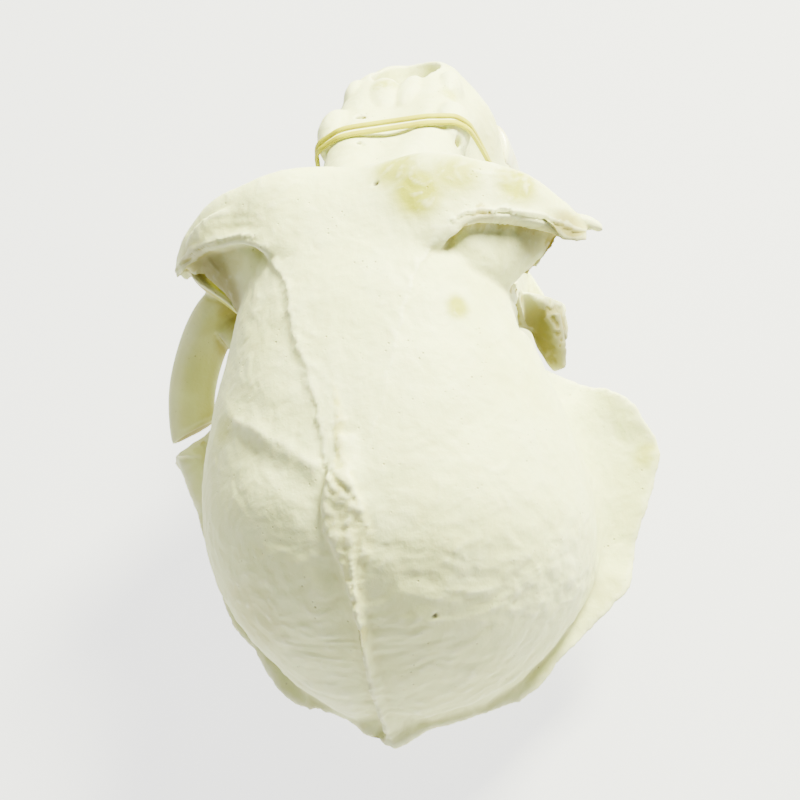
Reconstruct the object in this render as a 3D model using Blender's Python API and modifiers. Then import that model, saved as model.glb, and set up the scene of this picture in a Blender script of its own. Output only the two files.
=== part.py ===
"""Cranium of an adult male baboon, life size, resting on its long upper canines and its occipital condyles.

Shapes are laid out in the skull's own frame, in millimetres: X to its right, Y forward from the back of the
head, Z up from the plane that the cheek teeth bite on. MM turns them into metres. The last step tips the
whole skull nose up by REST_PITCH, as it rests on a table with no lower jaw, and sets it on Z = 0.
"""

from math import cos, pi, radians, sin

import bmesh
import bpy
import numpy as np
from mathutils import Matrix, Vector

MM = 0.001

# Driving sizes of the skull, in millimetres.
INION = (0.0, 2.6, 58.0)  # the point of the crest at the back of the head
BROW_HALF_WIDTH = 47.6
BROW_LEFT = 0.945  # how much of that the left side reaches
SUTURE_GAP = 2.8  # the open seam in the cheek arch
FACE_LEAN = 8.4  # how far the tip of the upper jaw stands to the left of the middle
RIDGE_LEAN = 0.55  # how much of that lean the top of the snout takes
LEAN_START = 45.0
LEAN_END = 186.0
NODE_GAP = 0.3
VOXEL = 1.15
BONE_TRIANGLES = 9700
CONDYLE = (10.5, 38.0, 25.0)
CONDYLE_RADII = (5.2, 8.2, 6.0)
CANINE_ROOT = (19.6, 161.5, 12.0)
CANINE_TIP = (23.4, 156.0, -31.0)
REST_TRIM = 0.35  # how far the condyles and canine tips are worn flat where they stand

BONE_COLOUR = (0.80, 0.78, 0.66, 1.0)
BAND_COLOUR = (0.80, 0.66, 0.22, 1.0)


def material(name, colour, roughness):
    """A plain Principled finish."""
    made = bpy.data.materials.new(name)
    made.use_nodes = True
    shader = made.node_tree.nodes["Principled BSDF"]
    shader.inputs["Base Color"].default_value = colour
    shader.inputs["Roughness"].default_value = roughness
    shader.inputs["Metallic"].default_value = 0.0
    made.diffuse_color = colour
    return made


def clear_scene():
    for old in list(bpy.data.objects):
        bpy.data.objects.remove(old)


def smooth(points, count, closed=False):
    """Points at even steps of a Catmull-Rom curve through the given ones, of any number of values each."""
    knots = np.array(points, float)
    size = len(knots)
    spans = size if closed else size - 1
    where = np.linspace(0, spans, count, endpoint=not closed)
    span = np.minimum(where.astype(int), spans - 1)
    t = (where - span)[:, None]

    def knot(i):
        return knots[i % size] if closed else knots[np.clip(i, 0, size - 1)]

    before, start, end, after = (knot(span + k) for k in (-1, 0, 1, 2))
    return 0.5 * (
        2 * start
        + (end - before) * t
        + (2 * before - 5 * start + 4 * end - after) * t**2
        + (3 * start - before - 3 * end + after) * t**3
    )


def mesh_object(name, bm):
    bmesh.ops.recalc_face_normals(bm, faces=bm.faces[:])
    mesh = bpy.data.meshes.new(name)
    bm.to_mesh(mesh)
    bm.free()
    made = bpy.data.objects.new(name, mesh)
    bpy.context.scene.collection.objects.link(made)
    return made


def loft(name, rings, closed=False):
    """One closed body through rings of points; a closed loft joins its last ring to its first."""
    bm = bmesh.new()
    rows = [[bm.verts.new(Vector(p) * MM) for p in ring] for ring in rings]
    steps = list(zip(rows, rows[1:])) + ([(rows[-1], rows[0])] if closed else [])
    for near, far in steps:
        for i in range(len(near)):
            j = (i + 1) % len(near)
            bm.faces.new((near[i], near[j], far[j], far[i]))
    if not closed:
        bm.faces.new(rows[0])
        bm.faces.new(rows[-1])
    return mesh_object(name, bm)


def ellipsoid(name, centre, radii, turn=(0.0, 0.0, 0.0)):
    """A sphere primitive, stretched, turned by degrees about X, Y and Z, and set in place."""
    bm = bmesh.new()
    bmesh.ops.create_uvsphere(bm, u_segments=28, v_segments=18, radius=1.0)
    place = Matrix.Translation(Vector(centre) * MM)
    for angle, axis in zip(turn, "XYZ"):
        place = place @ Matrix.Rotation(radians(angle), 4, axis)
    place = place @ Matrix.Diagonal([*(r * MM for r in radii), 1.0])
    bmesh.ops.transform(bm, matrix=place, verts=bm.verts[:])
    return mesh_object(name, bm)


def prism(name, outline, low, high):
    """A flat outline in X and Z, drawn out along Y from low to high."""
    return loft(name, [[(x, y, z) for x, z in outline] for y in (low, high)])


def slab(name, origin, normal, depth=400.0):
    """A block that fills one side of a plane, the side that the normal points to."""
    bm = bmesh.new()
    bmesh.ops.create_cube(bm, size=depth * MM)
    turn = Vector(normal).to_track_quat("Z", "Y").to_matrix().to_4x4()
    place = Matrix.Translation(Vector(origin) * MM) @ turn @ Matrix.Translation((0, 0, depth / 2 * MM))
    bmesh.ops.transform(bm, matrix=place, verts=bm.verts[:])
    return mesh_object(name, bm)


def superellipse(centre, across, up, sharpness=2.0, count=28):
    """A closed ring about a centre; across and up are its half-axes as vectors."""
    centre, across, up = (np.array(v, float) for v in (centre, across, up))
    ring = []
    for k in range(count):
        a = 2 * pi * k / count
        c, s = cos(a), sin(a)
        c, s = (abs(v) ** (2 / sharpness) * (1 if v >= 0 else -1) for v in (c, s))
        ring.append(centre + across * c + up * s)
    return ring


def baked(thing):
    """Replaces an object's mesh by the one its modifiers make."""
    graph = bpy.context.evaluated_depsgraph_get()
    graph.update()
    mesh = bpy.data.meshes.new_from_object(thing.evaluated_get(graph))
    thing.modifiers.clear()
    thing.data = mesh
    return thing


def combine(body, others, operation):
    """Joins or cuts a body with a list of closed objects, which are then removed."""
    pieces = bpy.data.collections.new("pieces")
    bpy.context.scene.collection.children.link(pieces)
    for other in others:
        bpy.context.scene.collection.objects.unlink(other)
        pieces.objects.link(other)
    step = body.modifiers.new(operation.lower(), "BOOLEAN")
    step.operation = operation
    step.operand_type = "COLLECTION"
    step.collection = pieces
    step.solver = "MANIFOLD"
    baked(body)
    for other in others:
        bpy.data.objects.remove(other)
    bpy.data.collections.remove(pieces)
    return body


def largest_body(thing):
    """Keeps the biggest closed surface of an object and drops the rest."""
    bm = bmesh.new()
    bm.from_mesh(thing.data)
    left = set(bm.verts)
    groups = []
    while left:
        stack = [left.pop()]
        group = set(stack)
        while stack:
            for edge in stack.pop().link_edges:
                for vert in edge.verts:
                    if vert in left:
                        left.remove(vert)
                        group.add(vert)
                        stack.append(vert)
        groups.append(group)
    keep = max(groups, key=len)
    bmesh.ops.delete(bm, geom=[v for v in bm.verts if v not in keep], context="VERTS")
    bm.to_mesh(thing.data)
    bm.free()
    return thing


def refine(thing, voxel, rounds):
    """Fuses what overlaps into one even surface and softens its creases."""
    step = thing.modifiers.new("even", "REMESH")
    step.mode = "VOXEL"
    step.voxel_size = voxel * MM
    soften = thing.modifiers.new("soften", "SMOOTH")
    soften.factor = 0.5
    soften.iterations = rounds
    return largest_body(baked(thing))


def thin_out(thing, triangles):
    """Brings an object down to about that many triangles."""
    thing.data.calc_loop_triangles()
    now = len(thing.data.loop_triangles)
    if now > triangles:
        step = thing.modifiers.new("fewer", "DECIMATE")
        step.ratio = triangles / now
        baked(thing)
    return thing


# The braincase: stations along Y with the middle, half-width, top, bottom and the height of the widest place.
VAULT = [
    (8.0, 1.0, 8.0, 67.0, 53.0, 60.0),
    (12.0, 2.2, 16.6, 73.5, 46.0, 60.0),
    (17.5, 2.8, 24.6, 81.0, 40.0, 59.0),
    (25.0, 3.0, 32.6, 88.6, 33.0, 57.0),
    (35.0, 2.8, 39.2, 94.8, 28.5, 56.0),
    (46.0, 2.2, 42.2, 98.3, 27.0, 55.5),
    (58.0, 1.4, 42.0, 98.6, 28.0, 56.0),
    (70.0, 1.0, 39.0, 98.0, 34.0, 60.0),
    (82.0, 0.8, 34.6, 96.8, 42.0, 65.0),
    (92.0, 0.6, 31.2, 95.3, 50.0, 69.0),
    (100.0, 0.4, 29.5, 93.5, 56.0, 71.0),
    (110.0, 0.0, 30.0, 90.0, 60.0, 72.0),
    (118.0, 0.0, 28.0, 86.0, 64.0, 73.0),
]


def vault():
    rings = []
    for y, middle, width, top, low, widest in smooth(VAULT, 44):
        centre = (middle, y, widest)
        upper = superellipse(centre, (width, 0, 0), (-0.8 * middle, 0, top - widest), 2.15, 48)
        under = superellipse(centre, (width, 0, 0), (0, 0, widest - low), 2.0, 48)
        rings.append([u if u[2] >= widest else v for u, v in zip(upper, under)])
    return loft("vault", rings)


# The brow: stations along X with its front, back, top and bottom.
BROW = [
    (0.0, 123.2, 92.0, 90.6, 72.0),
    (8.0, 123.4, 93.0, 91.6, 75.0),
    (16.0, 123.0, 98.0, 92.4, 80.5),
    (24.0, 121.6, 104.0, 91.0, 82.0),
    (32.0, 118.6, 105.0, 87.6, 79.5),
    (39.0, 115.2, 104.6, 83.4, 74.5),
    (44.4, 112.8, 103.8, 79.8, 70.5),
    (BROW_HALF_WIDTH, 109.6, 103.6, 76.4, 68.4),
]


def brow():
    across = [(-x * BROW_LEFT, f, b, t, u) for x, f, b, t, u in BROW[:0:-1]] + BROW
    rings = []
    for x, front, back, top, low in smooth(across, 60):
        middle = (x, (front + back) / 2, (top + low) / 2)
        rings.append(superellipse(middle, (0, (front - back) / 2, 0), (0, 0, (top - low) / 2), 2.5, 24))
    return loft("brow", rings)


# Each eye socket is a funnel; its outside is the wall behind the eye and its inside is cut away.
SOCKET_OUTSIDE = [
    ((23.4, 114.5, 72.5), 19.4, 17.2),
    ((22.6, 110.0, 72.2), 19.0, 17.2),
    ((20.0, 103.5, 72.0), 15.0, 16.0),
    ((17.0, 96.0, 71.5), 11.0, 14.4),
]
SOCKET_INSIDE = [
    ((23.0, 120.0, 71.8), 17.0, 14.4),
    ((22.2, 115.0, 71.4), 15.6, 13.6),
    ((21.4, 110.0, 71.2), 15.0, 13.4),
    ((19.0, 102.0, 71.0), 12.2, 11.6),
    ((15.5, 91.0, 71.5), 7.6, 7.5),
    ((12.5, 84.0, 72.0), 2.5, 2.5),
]
SOCKET_SWEEP = 20.0  # degrees that a socket's rim falls back towards the side


def socket(name, stations, side, count=14):
    flat = [(*centre, across, up) for centre, across, up in stations]
    rings = []
    for x, y, z, across, up in smooth(flat, count):
        swing = radians(SOCKET_SWEEP)
        lateral = (side * across * cos(swing), -across * sin(swing), 0)
        rings.append(superellipse((side * x, y, z), lateral, (0, 0, up), 2.15, 28))
    return loft(name, rings)


# The snout: stations along Y, each half an outline from the middle of its top round to the palate.
SNOUT = [
    (92.5, [
        (0, 56), (7, 56), (12, 52), (17, 47), (19, 42),
        (19, 32), (17.5, 21), (14.5, 16), (0, 16),
    ]),
    (96.0, [
        (0, 62), (8, 62), (14, 58), (21, 53), (23.5, 46),
        (23.5, 31), (21.5, 17), (18.5, 12), (0, 12),
    ]),
    (104.0, [
        (0, 72), (8, 71), (14, 63), (24, 57), (27, 49),
        (26.5, 32), (25.5, 15), (22, 8), (0, 9),
    ]),
    (112.0, [
        (0, 78), (7, 77), (12, 68), (22.5, 58.5), (26.5, 49),
        (25.5, 32), (26.4, 15), (24.5, 7), (0, 8),
    ]),
    (121.0, [
        (0, 77), (7, 76.2), (12.5, 68), (20, 57), (22.5, 45),
        (22, 30), (26, 15), (25, 6.5), (0, 8),
    ]),
    (130.0, [
        (0, 69.6), (8.2, 69.8), (14.2, 64), (17.2, 54), (17.2, 41),
        (19, 28), (24.6, 14), (24.2, 6), (0, 8),
    ]),
    (140.0, [
        (0, 61.6), (9.2, 62.8), (15.0, 58), (16.2, 49), (15.8, 38),
        (18.2, 26), (23.2, 13), (22.8, 6), (0, 8),
    ]),
    (149.0, [
        (0, 54.2), (9.6, 56), (15.2, 51.6), (16.6, 44), (16.8, 35),
        (20.2, 25), (22.8, 14), (22.0, 5.5), (0, 8),
    ]),
    (158.0, [
        (0, 47.4), (8.8, 49), (14.2, 45.4), (16.8, 38.5), (19.6, 30),
        (22.2, 21), (23.0, 12), (21.8, 5), (0, 7),
    ]),
    (166.0, [
        (0, 41.4), (8.2, 42.6), (12.8, 39), (15.6, 33), (18.4, 26),
        (20.8, 18), (21.0, 10), (18.8, 4.5), (0, 6),
    ]),
    (174.0, [
        (0, 32.6), (7.4, 33.6), (11.8, 31), (14.4, 26), (16.2, 20.5),
        (17.4, 14), (17.2, 8), (15, 4), (0, 5),
    ]),
    (181.0, [
        (0, 23), (6, 23.8), (9.4, 22), (11.6, 19), (12.8, 15),
        (13.6, 10.5), (13.2, 6.5), (11.2, 3.6), (0, 4),
    ]),
    (186.5, [
        (0, 13), (3.4, 13.2), (5.6, 12.4), (7.0, 11), (7.8, 9),
        (8, 7), (7.6, 5), (6.2, 3.4), (0, 3.4),
    ]),
]


def snout():
    rings = []
    shapes = smooth([(y, *np.ravel(half)) for y, half in SNOUT], 46)
    for station in shapes:
        y, half = station[0], station[1:].reshape(-1, 2)
        other = half[-2:0:-1] * (-1, 1)
        outline = smooth(np.vstack([half, other]), 64, closed=True)
        rings.append([(x, y, z) for x, z in outline])
    return loft("snout", rings)


def nose_opening():
    """The pear-shaped opening below the tip of the nose bones, cut back into the snout."""
    stations = [
        ((0, 200, 42), 9.0, 19.0),
        ((0, 178, 34.0), 8.8, 14.5),
        ((0, 168, 33.0), 8.2, 13.0),
        ((0, 161, 34.0), 7.2, 10.6),
        ((0, 152, 34.5), 5.6, 7.5),
        ((0, 140, 36), 3.5, 4.0),
    ]
    flat = [(*c, w, h) for c, w, h in stations]
    return loft(
        "nose_opening",
        [superellipse((x, y, z), (w, 0, 0), (0, 0, h), 2.2, 24) for x, y, z, w, h in smooth(flat, 12)],
    )


def palate_cut():
    """The hollow of the hard palate, open below and at the back."""
    stations = [(92, 14.5, 13), (100, 15, 9), (120, 15.6, 9.5), (145, 15.2, 9), (165, 13, 7), (177, 7, 3.5)]
    return loft(
        "palate_cut",
        [superellipse((0, y, 4.0), (w, 0, 0), (0, 0, h), 2.4, 24) for y, w, h in smooth(stations, 16)],
    )


def back_nostrils():
    return ellipsoid("back_nostrils", (0, 90, 25), (9.5, 20, 9.5), (12, 0, 0))


# The crest round the back of the head, which runs on as the shelf that roots the cheek arch. Each station:
# its edge on the right, its edge on the left, where it springs from inside the braincase, thickness.
CREST = [
    (INION, INION, (0.0, 22.0, 66.0), 4.4),
    ((8.0, 6.8, 56.4), (-7.4, 7.2, 56.4), (6.0, 24.0, 65.0), 3.8),
    ((17.0, 10.6, 54.0), (-14.6, 11.0, 54.0), (11.0, 27.0, 63.0), 3.4),
    ((28.0, 15.2, 50.0), (-25.4, 16.0, 51.0), (16.0, 32.0, 60.0), 3.2),
    ((34.0, 21.4, 48.0), (-31.6, 23.2, 48.6), (20.0, 36.0, 57.0), 3.2),
    ((40.8, 28.6, 46.0), (-37.9, 29.7, 46.4), (23.0, 40.0, 55.0), 3.2),
    ((48.6, 36.4, 44.0), (-42.0, 36.6, 44.4), (26.0, 44.0, 53.0), 3.2),
    ((51.0, 43.0, 43.5), (-43.4, 43.4, 44.0), (28.0, 49.0, 51.0), 3.4),
    ((53.6, 54.5, 44.6), (-44.8, 51.0, 45.0), (28.0, 57.0, 50.5), 4.0),
    ((56.4, 62.5, 45.6), (-48.2, 60.0, 46.0), (28.0, 64.0, 51.0), 4.2),
    ((58.0, 68.6, 46.4), (-51.2, 66.0, 47.0), (28.0, 71.0, 52.0), 4.2),
    ((55.6, 76.0, 49.8), (-54.0, 72.0, 49.0), (28.0, 78.0, 53.6), 4.0),
    ((52.0, 81.4, 52.0), (-50.0, 80.0, 52.0), (28.0, 83.0, 54.4), 3.8),
    ((41.0, 84.4, 53.6), (-40.0, 84.0, 53.6), (28.0, 87.0, 55.0), 3.4),
]
BLADE_STEPS = (0.0, 0.14, 0.28, 0.41, 0.53, 0.64, 0.74, 0.83, 0.91, 0.97)


def blade_ring(edge, root, thick, across, swell, power, sag=0.0):
    """A section from root to edge: hollow-sided at its thick root, rounded at its thin edge and dished."""
    edge, root, across = np.array(edge), np.array(root), np.array(across)
    sides = []
    for way in (1, -1):
        row = []
        for t in BLADE_STEPS:
            half = thick / 2 * (1 - t**9) ** 0.5 + swell * (1 - t) ** power
            row.append(root + (edge - root) * t + across * (way * half - sag * sin(pi * t)))
        sides.append(row)
    return sides[0] + [edge] + sides[1][::-1]


def back_crest():
    stations = [(*left, -root[0], *root[1:], thick) for _, left, root, thick in CREST[:0:-1]]
    stations += [(*right, *root, thick) for right, _, root, thick in CREST]
    rings = [blade_ring(r[:3], r[3:6], r[6], (0, 0, 1), 8.5, 2.6, 1.4) for r in smooth(stations, 96)]
    return loft("back_crest", rings)


# The crest along the middle of the vault's back: Y and Z of its edge, Y and Z of its root, thickness.
MIDDLE_CREST = [
    (3.0, 58.6, 12.5, 57.0, 3.0),
    (6.2, 66.4, 15.0, 62.0, 2.6),
    (10.0, 74.2, 18.5, 68.0, 2.4),
    (15.0, 81.2, 22.5, 73.5, 2.4),
    (20.5, 87.0, 26.5, 78.0, 2.4),
    (27.0, 92.2, 31.5, 82.4, 2.8),
    (34.0, 96.6, 37.0, 86.2, 3.6),
    (42.0, 99.6, 43.5, 89.2, 5.0),
    (50.0, 100.4, 50.5, 91.0, 6.4),
    (58.0, 99.4, 58.0, 90.0, 6.4),
]


def middle_crest():
    rings = []
    for y, z, root_y, root_z, thick in smooth(MIDDLE_CREST, 40):
        rings.append(blade_ring((0, y, z), (0, root_y, root_z), thick, (1, 0, 0), 9.0, 1.7))
    return loft("middle_crest", rings)


def bar(name, stations, side, sharpness=2.3, count=18):
    """A bar of bone through stations: centre, half-height as a vector, half-thickness."""
    flat = [(*centre, *up, thick) for centre, up, thick in stations]
    path = smooth(flat, count)
    path[:, 0] *= side
    path[:, 3] *= side
    along = np.gradient(path[:, :3], axis=0)
    rings = []
    for place, run in zip(path, along):
        up = place[3:6]
        across = np.cross(run, up)
        across *= place[6] / np.linalg.norm(across)
        rings.append(superellipse(place[:3], across, up, sharpness, 20))
    return loft(name, rings)


# On the left, the rear half of the cheek arch grows forward from the shelf.
# The cheekbone carries the front half.
ARCH_REAR = [
    ((41.0, 57.0, 46.6), (5.0, 0.0, 0.0), 1.4),
    ((44.6, 63.5, 47.6), (5.4, 0.0, 0.8), 2.2),
    ((47.0, 69.5, 48.9), (5.0, 0.0, 2.6), 2.4),
    ((48.0, 75.0, 50.2), (4.5, 0.0, 4.0), 2.3),
    ((48.4, 80.0, 51.2), (3.8, 0.0, 4.8), 2.3),
]
ARCH_FRONT = [
    ((47.6, 69.0, 49.2), (4.8, 0.0, 3.8), 2.3),
    ((49.2, 76.0, 50.4), (4.2, 0.0, 4.6), 2.4),
    ((49.6, 84.0, 51.6), (3.4, 0.0, 5.4), 2.5),
    ((48.0, 91.5, 52.6), (2.6, 0.0, 6.4), 2.8),
    ((44.6, 98.0, 54.0), (1.0, 0.0, 8.0), 3.4),
    ((40.6, 103.0, 54.6), (-1.0, 0.0, 9.0), 4.2),
    ((36.0, 106.0, 53.5), (-2.0, 0.0, 9.0), 4.8),
    ((31.0, 108.0, 51.0), (-2.0, 0.0, 9.0), 5.0),
]
SEAM_POINT = (48.0, 75.6, 50.5)  # on the open seam between the two halves of the arch
SEAM_FACING = (-0.50, -0.76, -0.22)
# The room that a cheekbone fills, seen from the front, and behind that the room of its part of the arch.
CHEEK_BACK = 86.0
CHEEK_FRONT = 128.0
CHEEK_ROOM_REAR = 58.0
CHEEK_OVERLAP = 4.0
ARCH_ROOM = [(41, 34), (66, 34), (66, 68), (41, 68)]
CHEEK_OUTLINE = [(31, 75), (64, 75), (64, 30), (39.5, 36), (39.0, 47), (37.0, 53), (31.0, 60.0)]


def cheek_room(side, grow, back):
    """The room that a cheekbone fills; grow widens it where it meets the face, back moves its rear seam."""
    outline = [(side * (x - (grow if x < 60 else 0)), z + (grow if z > 70 else 0)) for x, z in CHEEK_OUTLINE]
    front = prism("cheek_room", outline, CHEEK_BACK - grow, CHEEK_FRONT)
    outline = [(side * (x - (grow if x < 60 else 0)), z + (grow if z > 60 else -grow)) for x, z in ARCH_ROOM]
    rear = prism("rear_room", outline, CHEEK_ROOM_REAR, CHEEK_BACK + CHEEK_OVERLAP)
    facing = Vector(SEAM_FACING).normalized()
    origin = Vector(SEAM_POINT) + facing * back
    origin.x *= side
    facing.x *= side
    combine(rear, [slab("seam", origin, facing, 80.0)], "DIFFERENCE")
    return combine(front, [rear], "UNION")


def outer_bar(side):
    """The bar at the outside of the socket, from the brow down to the cheekbone."""
    return bar(
        "outer_bar",
        [
            ((38.6, 107.8, 80.0), (0.0, 3.6, 0.0), 2.4),
            ((39.6, 107.4, 73.0), (0.0, 4.4, 0.4), 2.6),
            ((39.8, 106.8, 66.0), (0.0, 4.8, 0.6), 2.8),
            ((39.4, 106.4, 59.0), (0.0, 5.4, 0.8), 3.6),
            ((38.6, 105.4, 52.0), (0.0, 5.6, 0.8), 4.0),
        ],
        side,
    )


def cheek_root(side):
    """The root of the cheek, which the upper jaw sends out below the socket."""
    stations = [
        ((18.0, 109.0, 44.0), (0.0, 0.0, 17.0), 15.0),
        ((25.0, 107.0, 47.0), (0.0, 0.0, 12.6), 11.0),
        ((31.0, 104.5, 50.0), (0.0, 0.0, 9.6), 8.2),
        ((36.0, 101.0, 50.5), (0.0, 0.0, 8.2), 6.6),
        ((41.0, 98.0, 50.5), (0.0, 0.0, 7.6), 5.4),
    ]
    return bar("cheek_root", stations, side)


# The bar of bone under the middle of the braincase: Y and Z of its middle, half-width, half-height.
MIDDLE_BAR = [(40, 31, 13, 6), (55, 31.5, 10, 6), (70, 35, 9, 7), (84, 42, 9.5, 11), (100, 48, 10, 14)]


def skull_base():
    """What hangs below the braincase: the bar to the palate, ear swellings, condyles and small processes."""
    rings = []
    for y, z, wide, tall in smooth(MIDDLE_BAR, 16):
        rings.append(superellipse((0, y, z), (wide, 0, 0), (0, 0, tall), 2.3, 20))
    pieces = [loft("middle_bar", rings)]
    for side in (-1, 1):
        x, y, z = CONDYLE
        pieces += [
            ellipsoid("condyle", (side * x, y, z), CONDYLE_RADII, (14, 0, side * 22)),
            ellipsoid("ear_swelling", (side * 22, 54, 31.5), (8, 15, 8), (8, 0, side * 26)),
            ellipsoid("ear_tube", (side * 35.5, 47, 39), (9.5, 5.0, 5.4)),
            ellipsoid("mastoid", (side * 27.5, 41.0, 40.0), (11.0, 14.5, 11.0), (0, 0, side * 26)),
            ellipsoid("stop_behind_jaw", (side * 34, 52, 40), (4.6, 2.6, 7.5)),
            ellipsoid("squama", (side * 27, 60, 46), (12, 24, 14)),
            bar(
                "wing",
                [
                    ((10.0, 76.0, 42.0), (0.0, 7.0, 0.0), 3.0),
                    ((11.5, 82.0, 32.0), (0.0, 7.5, 0.0), 1.8),
                    ((13.0, 86.0, 22.0), (0.0, 7.0, 0.0), 1.5),
                    ((13.8, 89.0, 13.0), (0.0, 5.0, 0.0), 1.4),
                ],
                side,
            ),
            bar(
                "outer_wing",
                [
                    ((13.0, 80.0, 42.0), (0.0, 6.0, 0.0), 2.4),
                    ((17.5, 82.0, 32.0), (0.0, 6.0, 0.0), 1.6),
                    ((20.0, 86.0, 22.0), (0.0, 6.5, 0.0), 1.4),
                    ((19.0, 92.0, 15.0), (0.0, 5.0, 0.0), 2.0),
                ],
                side,
            ),
        ]
    return pieces


def base_cuts():
    """The great hole for the spinal cord and, on each side, the hollow for the jaw joint and the ear hole."""
    cuts = [ellipsoid("great_hole", (0, 30.0, 30.0), (7.6, 9.0, 14.0), (-38, 0, 0))]
    for side in (-1, 1):
        cuts += [
            ellipsoid("jaw_joint", (side * 40, 61.5, 38.5), (10.5, 7.5, 7.0)),
            ellipsoid("ear_hole", (side * 46, 47, 37.6), (9.0, 2.4, 2.4)),
        ]
    return cuts


# The raised line on each side of the top, from the brow's back edge to where both meet in the middle crest:
# X from the middle, Y, and how high it rises.
TEMPLE_LINE = [
    (45.5, 105.0, 0.8),
    (37.0, 105.6, 1.0),
    (30.0, 105.6, 1.1),
    (23.5, 104.0, 1.2),
    (17.0, 98.4, 1.2),
    (13.0, 90.0, 1.2),
    (9.8, 80.0, 1.2),
    (6.8, 68.0, 1.2),
    (4.6, 56.0, 1.2),
    (3.4, 48.0, 1.0),
    (2.4, 40.0, 0.6),
]
LINE_STEEP = 1.5  # width of the fall on a line's outer side
LINE_GENTLE = 3.4  # width of the fall towards the middle


def raise_crests(thing):
    """Lifts the top along the two raised lines, steeply from outside and gently from between them."""
    mesh = thing.data
    count = len(mesh.vertices)
    spots, facing = np.empty(count * 3), np.empty(count * 3)
    mesh.vertices.foreach_get("co", spots)
    mesh.vertices.foreach_get("normal", facing)
    spots, facing = spots.reshape(-1, 3) / MM, facing.reshape(-1, 3)
    top = np.flatnonzero((facing[:, 2] > 0.12) & (spots[:, 2] > VAULT[0][5]) & (spots[:, 1] < VAULT[-2][0]))
    rise = np.zeros(len(top))
    for side in (-1, 1):
        line = smooth([(side * x, y, h) for x, y, h in TEMPLE_LINE], 160)
        apart = spots[top, None, :2] - line[None, :, :2]
        away = np.linalg.norm(apart, axis=2)
        nearest = away.argmin(axis=1)
        row = np.arange(len(top))
        run = np.gradient(line[:, :2], axis=0)[nearest]
        off = apart[row, nearest]
        outside = side * (run[:, 0] * off[:, 1] - run[:, 1] * off[:, 0]) > 0
        width = np.where(outside, LINE_STEEP, LINE_GENTLE)
        rise = np.maximum(rise, line[nearest, 2] * np.exp(-((away[row, nearest] / width) ** 2)))
    spots[top] += (facing[top] * 0.5 + (0, 0, 0.5)) * rise[:, None]
    mesh.vertices.foreach_set("co", (spots * MM).ravel())
    mesh.update()


# Each tooth: name, centre X and Y, half-width across the jaw, half-length along it, crown height.
CHEEK_TEETH = [
    ("third_molar", 21.2, 109.8, 5.9, 6.5, 7.4),
    ("second_molar", 21.4, 122.6, 5.8, 6.2, 7.8),
    ("first_molar", 20.8, 134.4, 5.2, 5.4, 7.2),
    ("rear_premolar", 19.8, 143.8, 4.7, 3.8, 7.4),
    ("front_premolar", 19.4, 151.2, 4.2, 3.4, 7.8),
]
# Rings of a crown from its root down: height as a share of the crown's, and width as a share of the widest.
CROWN_RINGS = [(1.9, 0.78), (1.0, 0.84), (0.72, 0.98), (0.38, 1.0), (0.1, 0.9), (0.0, 0.66)]
BITE_DROP = 1.0  # how far the crowns reach below the plane that they bite on
CORNER_DROP = 0.9


def cheek_tooth(station, side):
    """A crown with a bulging waist and four corners to its top, its root sunk in the jaw."""
    name, x, y, wide, long, tall = station
    rings = []
    for share, swell in CROWN_RINGS:
        middle = (side * x, y, share * tall - BITE_DROP)
        rings.append(superellipse(middle, (wide * swell, 0, 0), (0, long * swell, 0), 2.8, 12))
    rings[-1] = [p - (0, 0, CORNER_DROP * abs(sin(4 * pi * k / 12))) for k, p in enumerate(rings[-1])]
    return loft(name, rings)


def canine(side):
    """The long upper canine, an oval blade that curves down and back to a point."""
    root, tip = np.array(CANINE_ROOT), np.array(CANINE_TIP)
    bend = (root + tip) / 2 + np.array((0.4, 3.2, 0.0))
    rings = []
    for k in range(9):
        t = k / 8
        place = (1 - t) ** 2 * root + 2 * t * (1 - t) * bend + t**2 * tip
        taper = (1 - t**1.6) * 0.93 + 0.07
        rings.append(superellipse(place * (side, 1, 1), (4.9 * taper, 0, 0), (0, 7.0 * taper, 0), 2.2, 14))
    return loft("canine", rings)


def incisor(side, x, y, wide, deep, tall, turn):
    """A spade-shaped front tooth that leans forward."""
    levels = (
        (9.0, 0.6, 0.9, -4.0),
        (2.0, 0.8, 1.0, -0.4),
        (-0.4 * tall, 1.0, 0.8, 1.6),
        (-tall, 1.0, 0.28, 2.6),
    )
    rings = []
    for level, w, d, lean in levels:
        swing = radians(side * turn)
        across = (wide * w * cos(swing), -wide * w * sin(swing), 0)
        back = (deep * d * sin(swing), deep * d * cos(swing), 0)
        centre = (side * x + lean * sin(swing), y + lean * cos(swing), 4.0 + level)
        rings.append(superellipse(centre, across, back, 2.6, 12))
    return loft("incisor", rings)


def teeth():
    made = []
    for side in (-1, 1):
        made += [cheek_tooth(station, side) for station in CHEEK_TEETH]
        made += [
            canine(side),
            incisor(side, 12.0, 176.6, 3.6, 3.6, 11.0, 32.0),
            incisor(side, 4.7, 183.4, 4.3, 3.9, 13.0, 10.0),
        ]
    return made


# The rubber band: where its plane crosses the middle, how the plane slants, and the strand itself.
BAND_MIDDLE_Y = 144.0
BAND_SLANT = (0.16, 0.12)  # how far it runs forward for each step to the right and each step up
BAND_LEVEL = 50.0
BAND_FLOOR = -4.0  # the band passes above this height, behind the canines
BAND_SPREAD = 1.5  # half the distance between the strands where they part most
BAND_HALF = (0.45, 0.8)  # half-thickness and half-width of one strand
BAND_LIFT = 1.3  # how far one strand stands off where it crosses the other
BAND_CLEAR = 1.4  # from the bone to the middle of the strand
BAND_REACH = 4.0  # how near to its plane the bone has to be to push the band outward
BAND_STEPS = 76  # sections in one turn round the snout


def band_plane(x, z):
    return BAND_MIDDLE_Y + BAND_SLANT[0] * x + BAND_SLANT[1] * (z - BAND_LEVEL)


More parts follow.
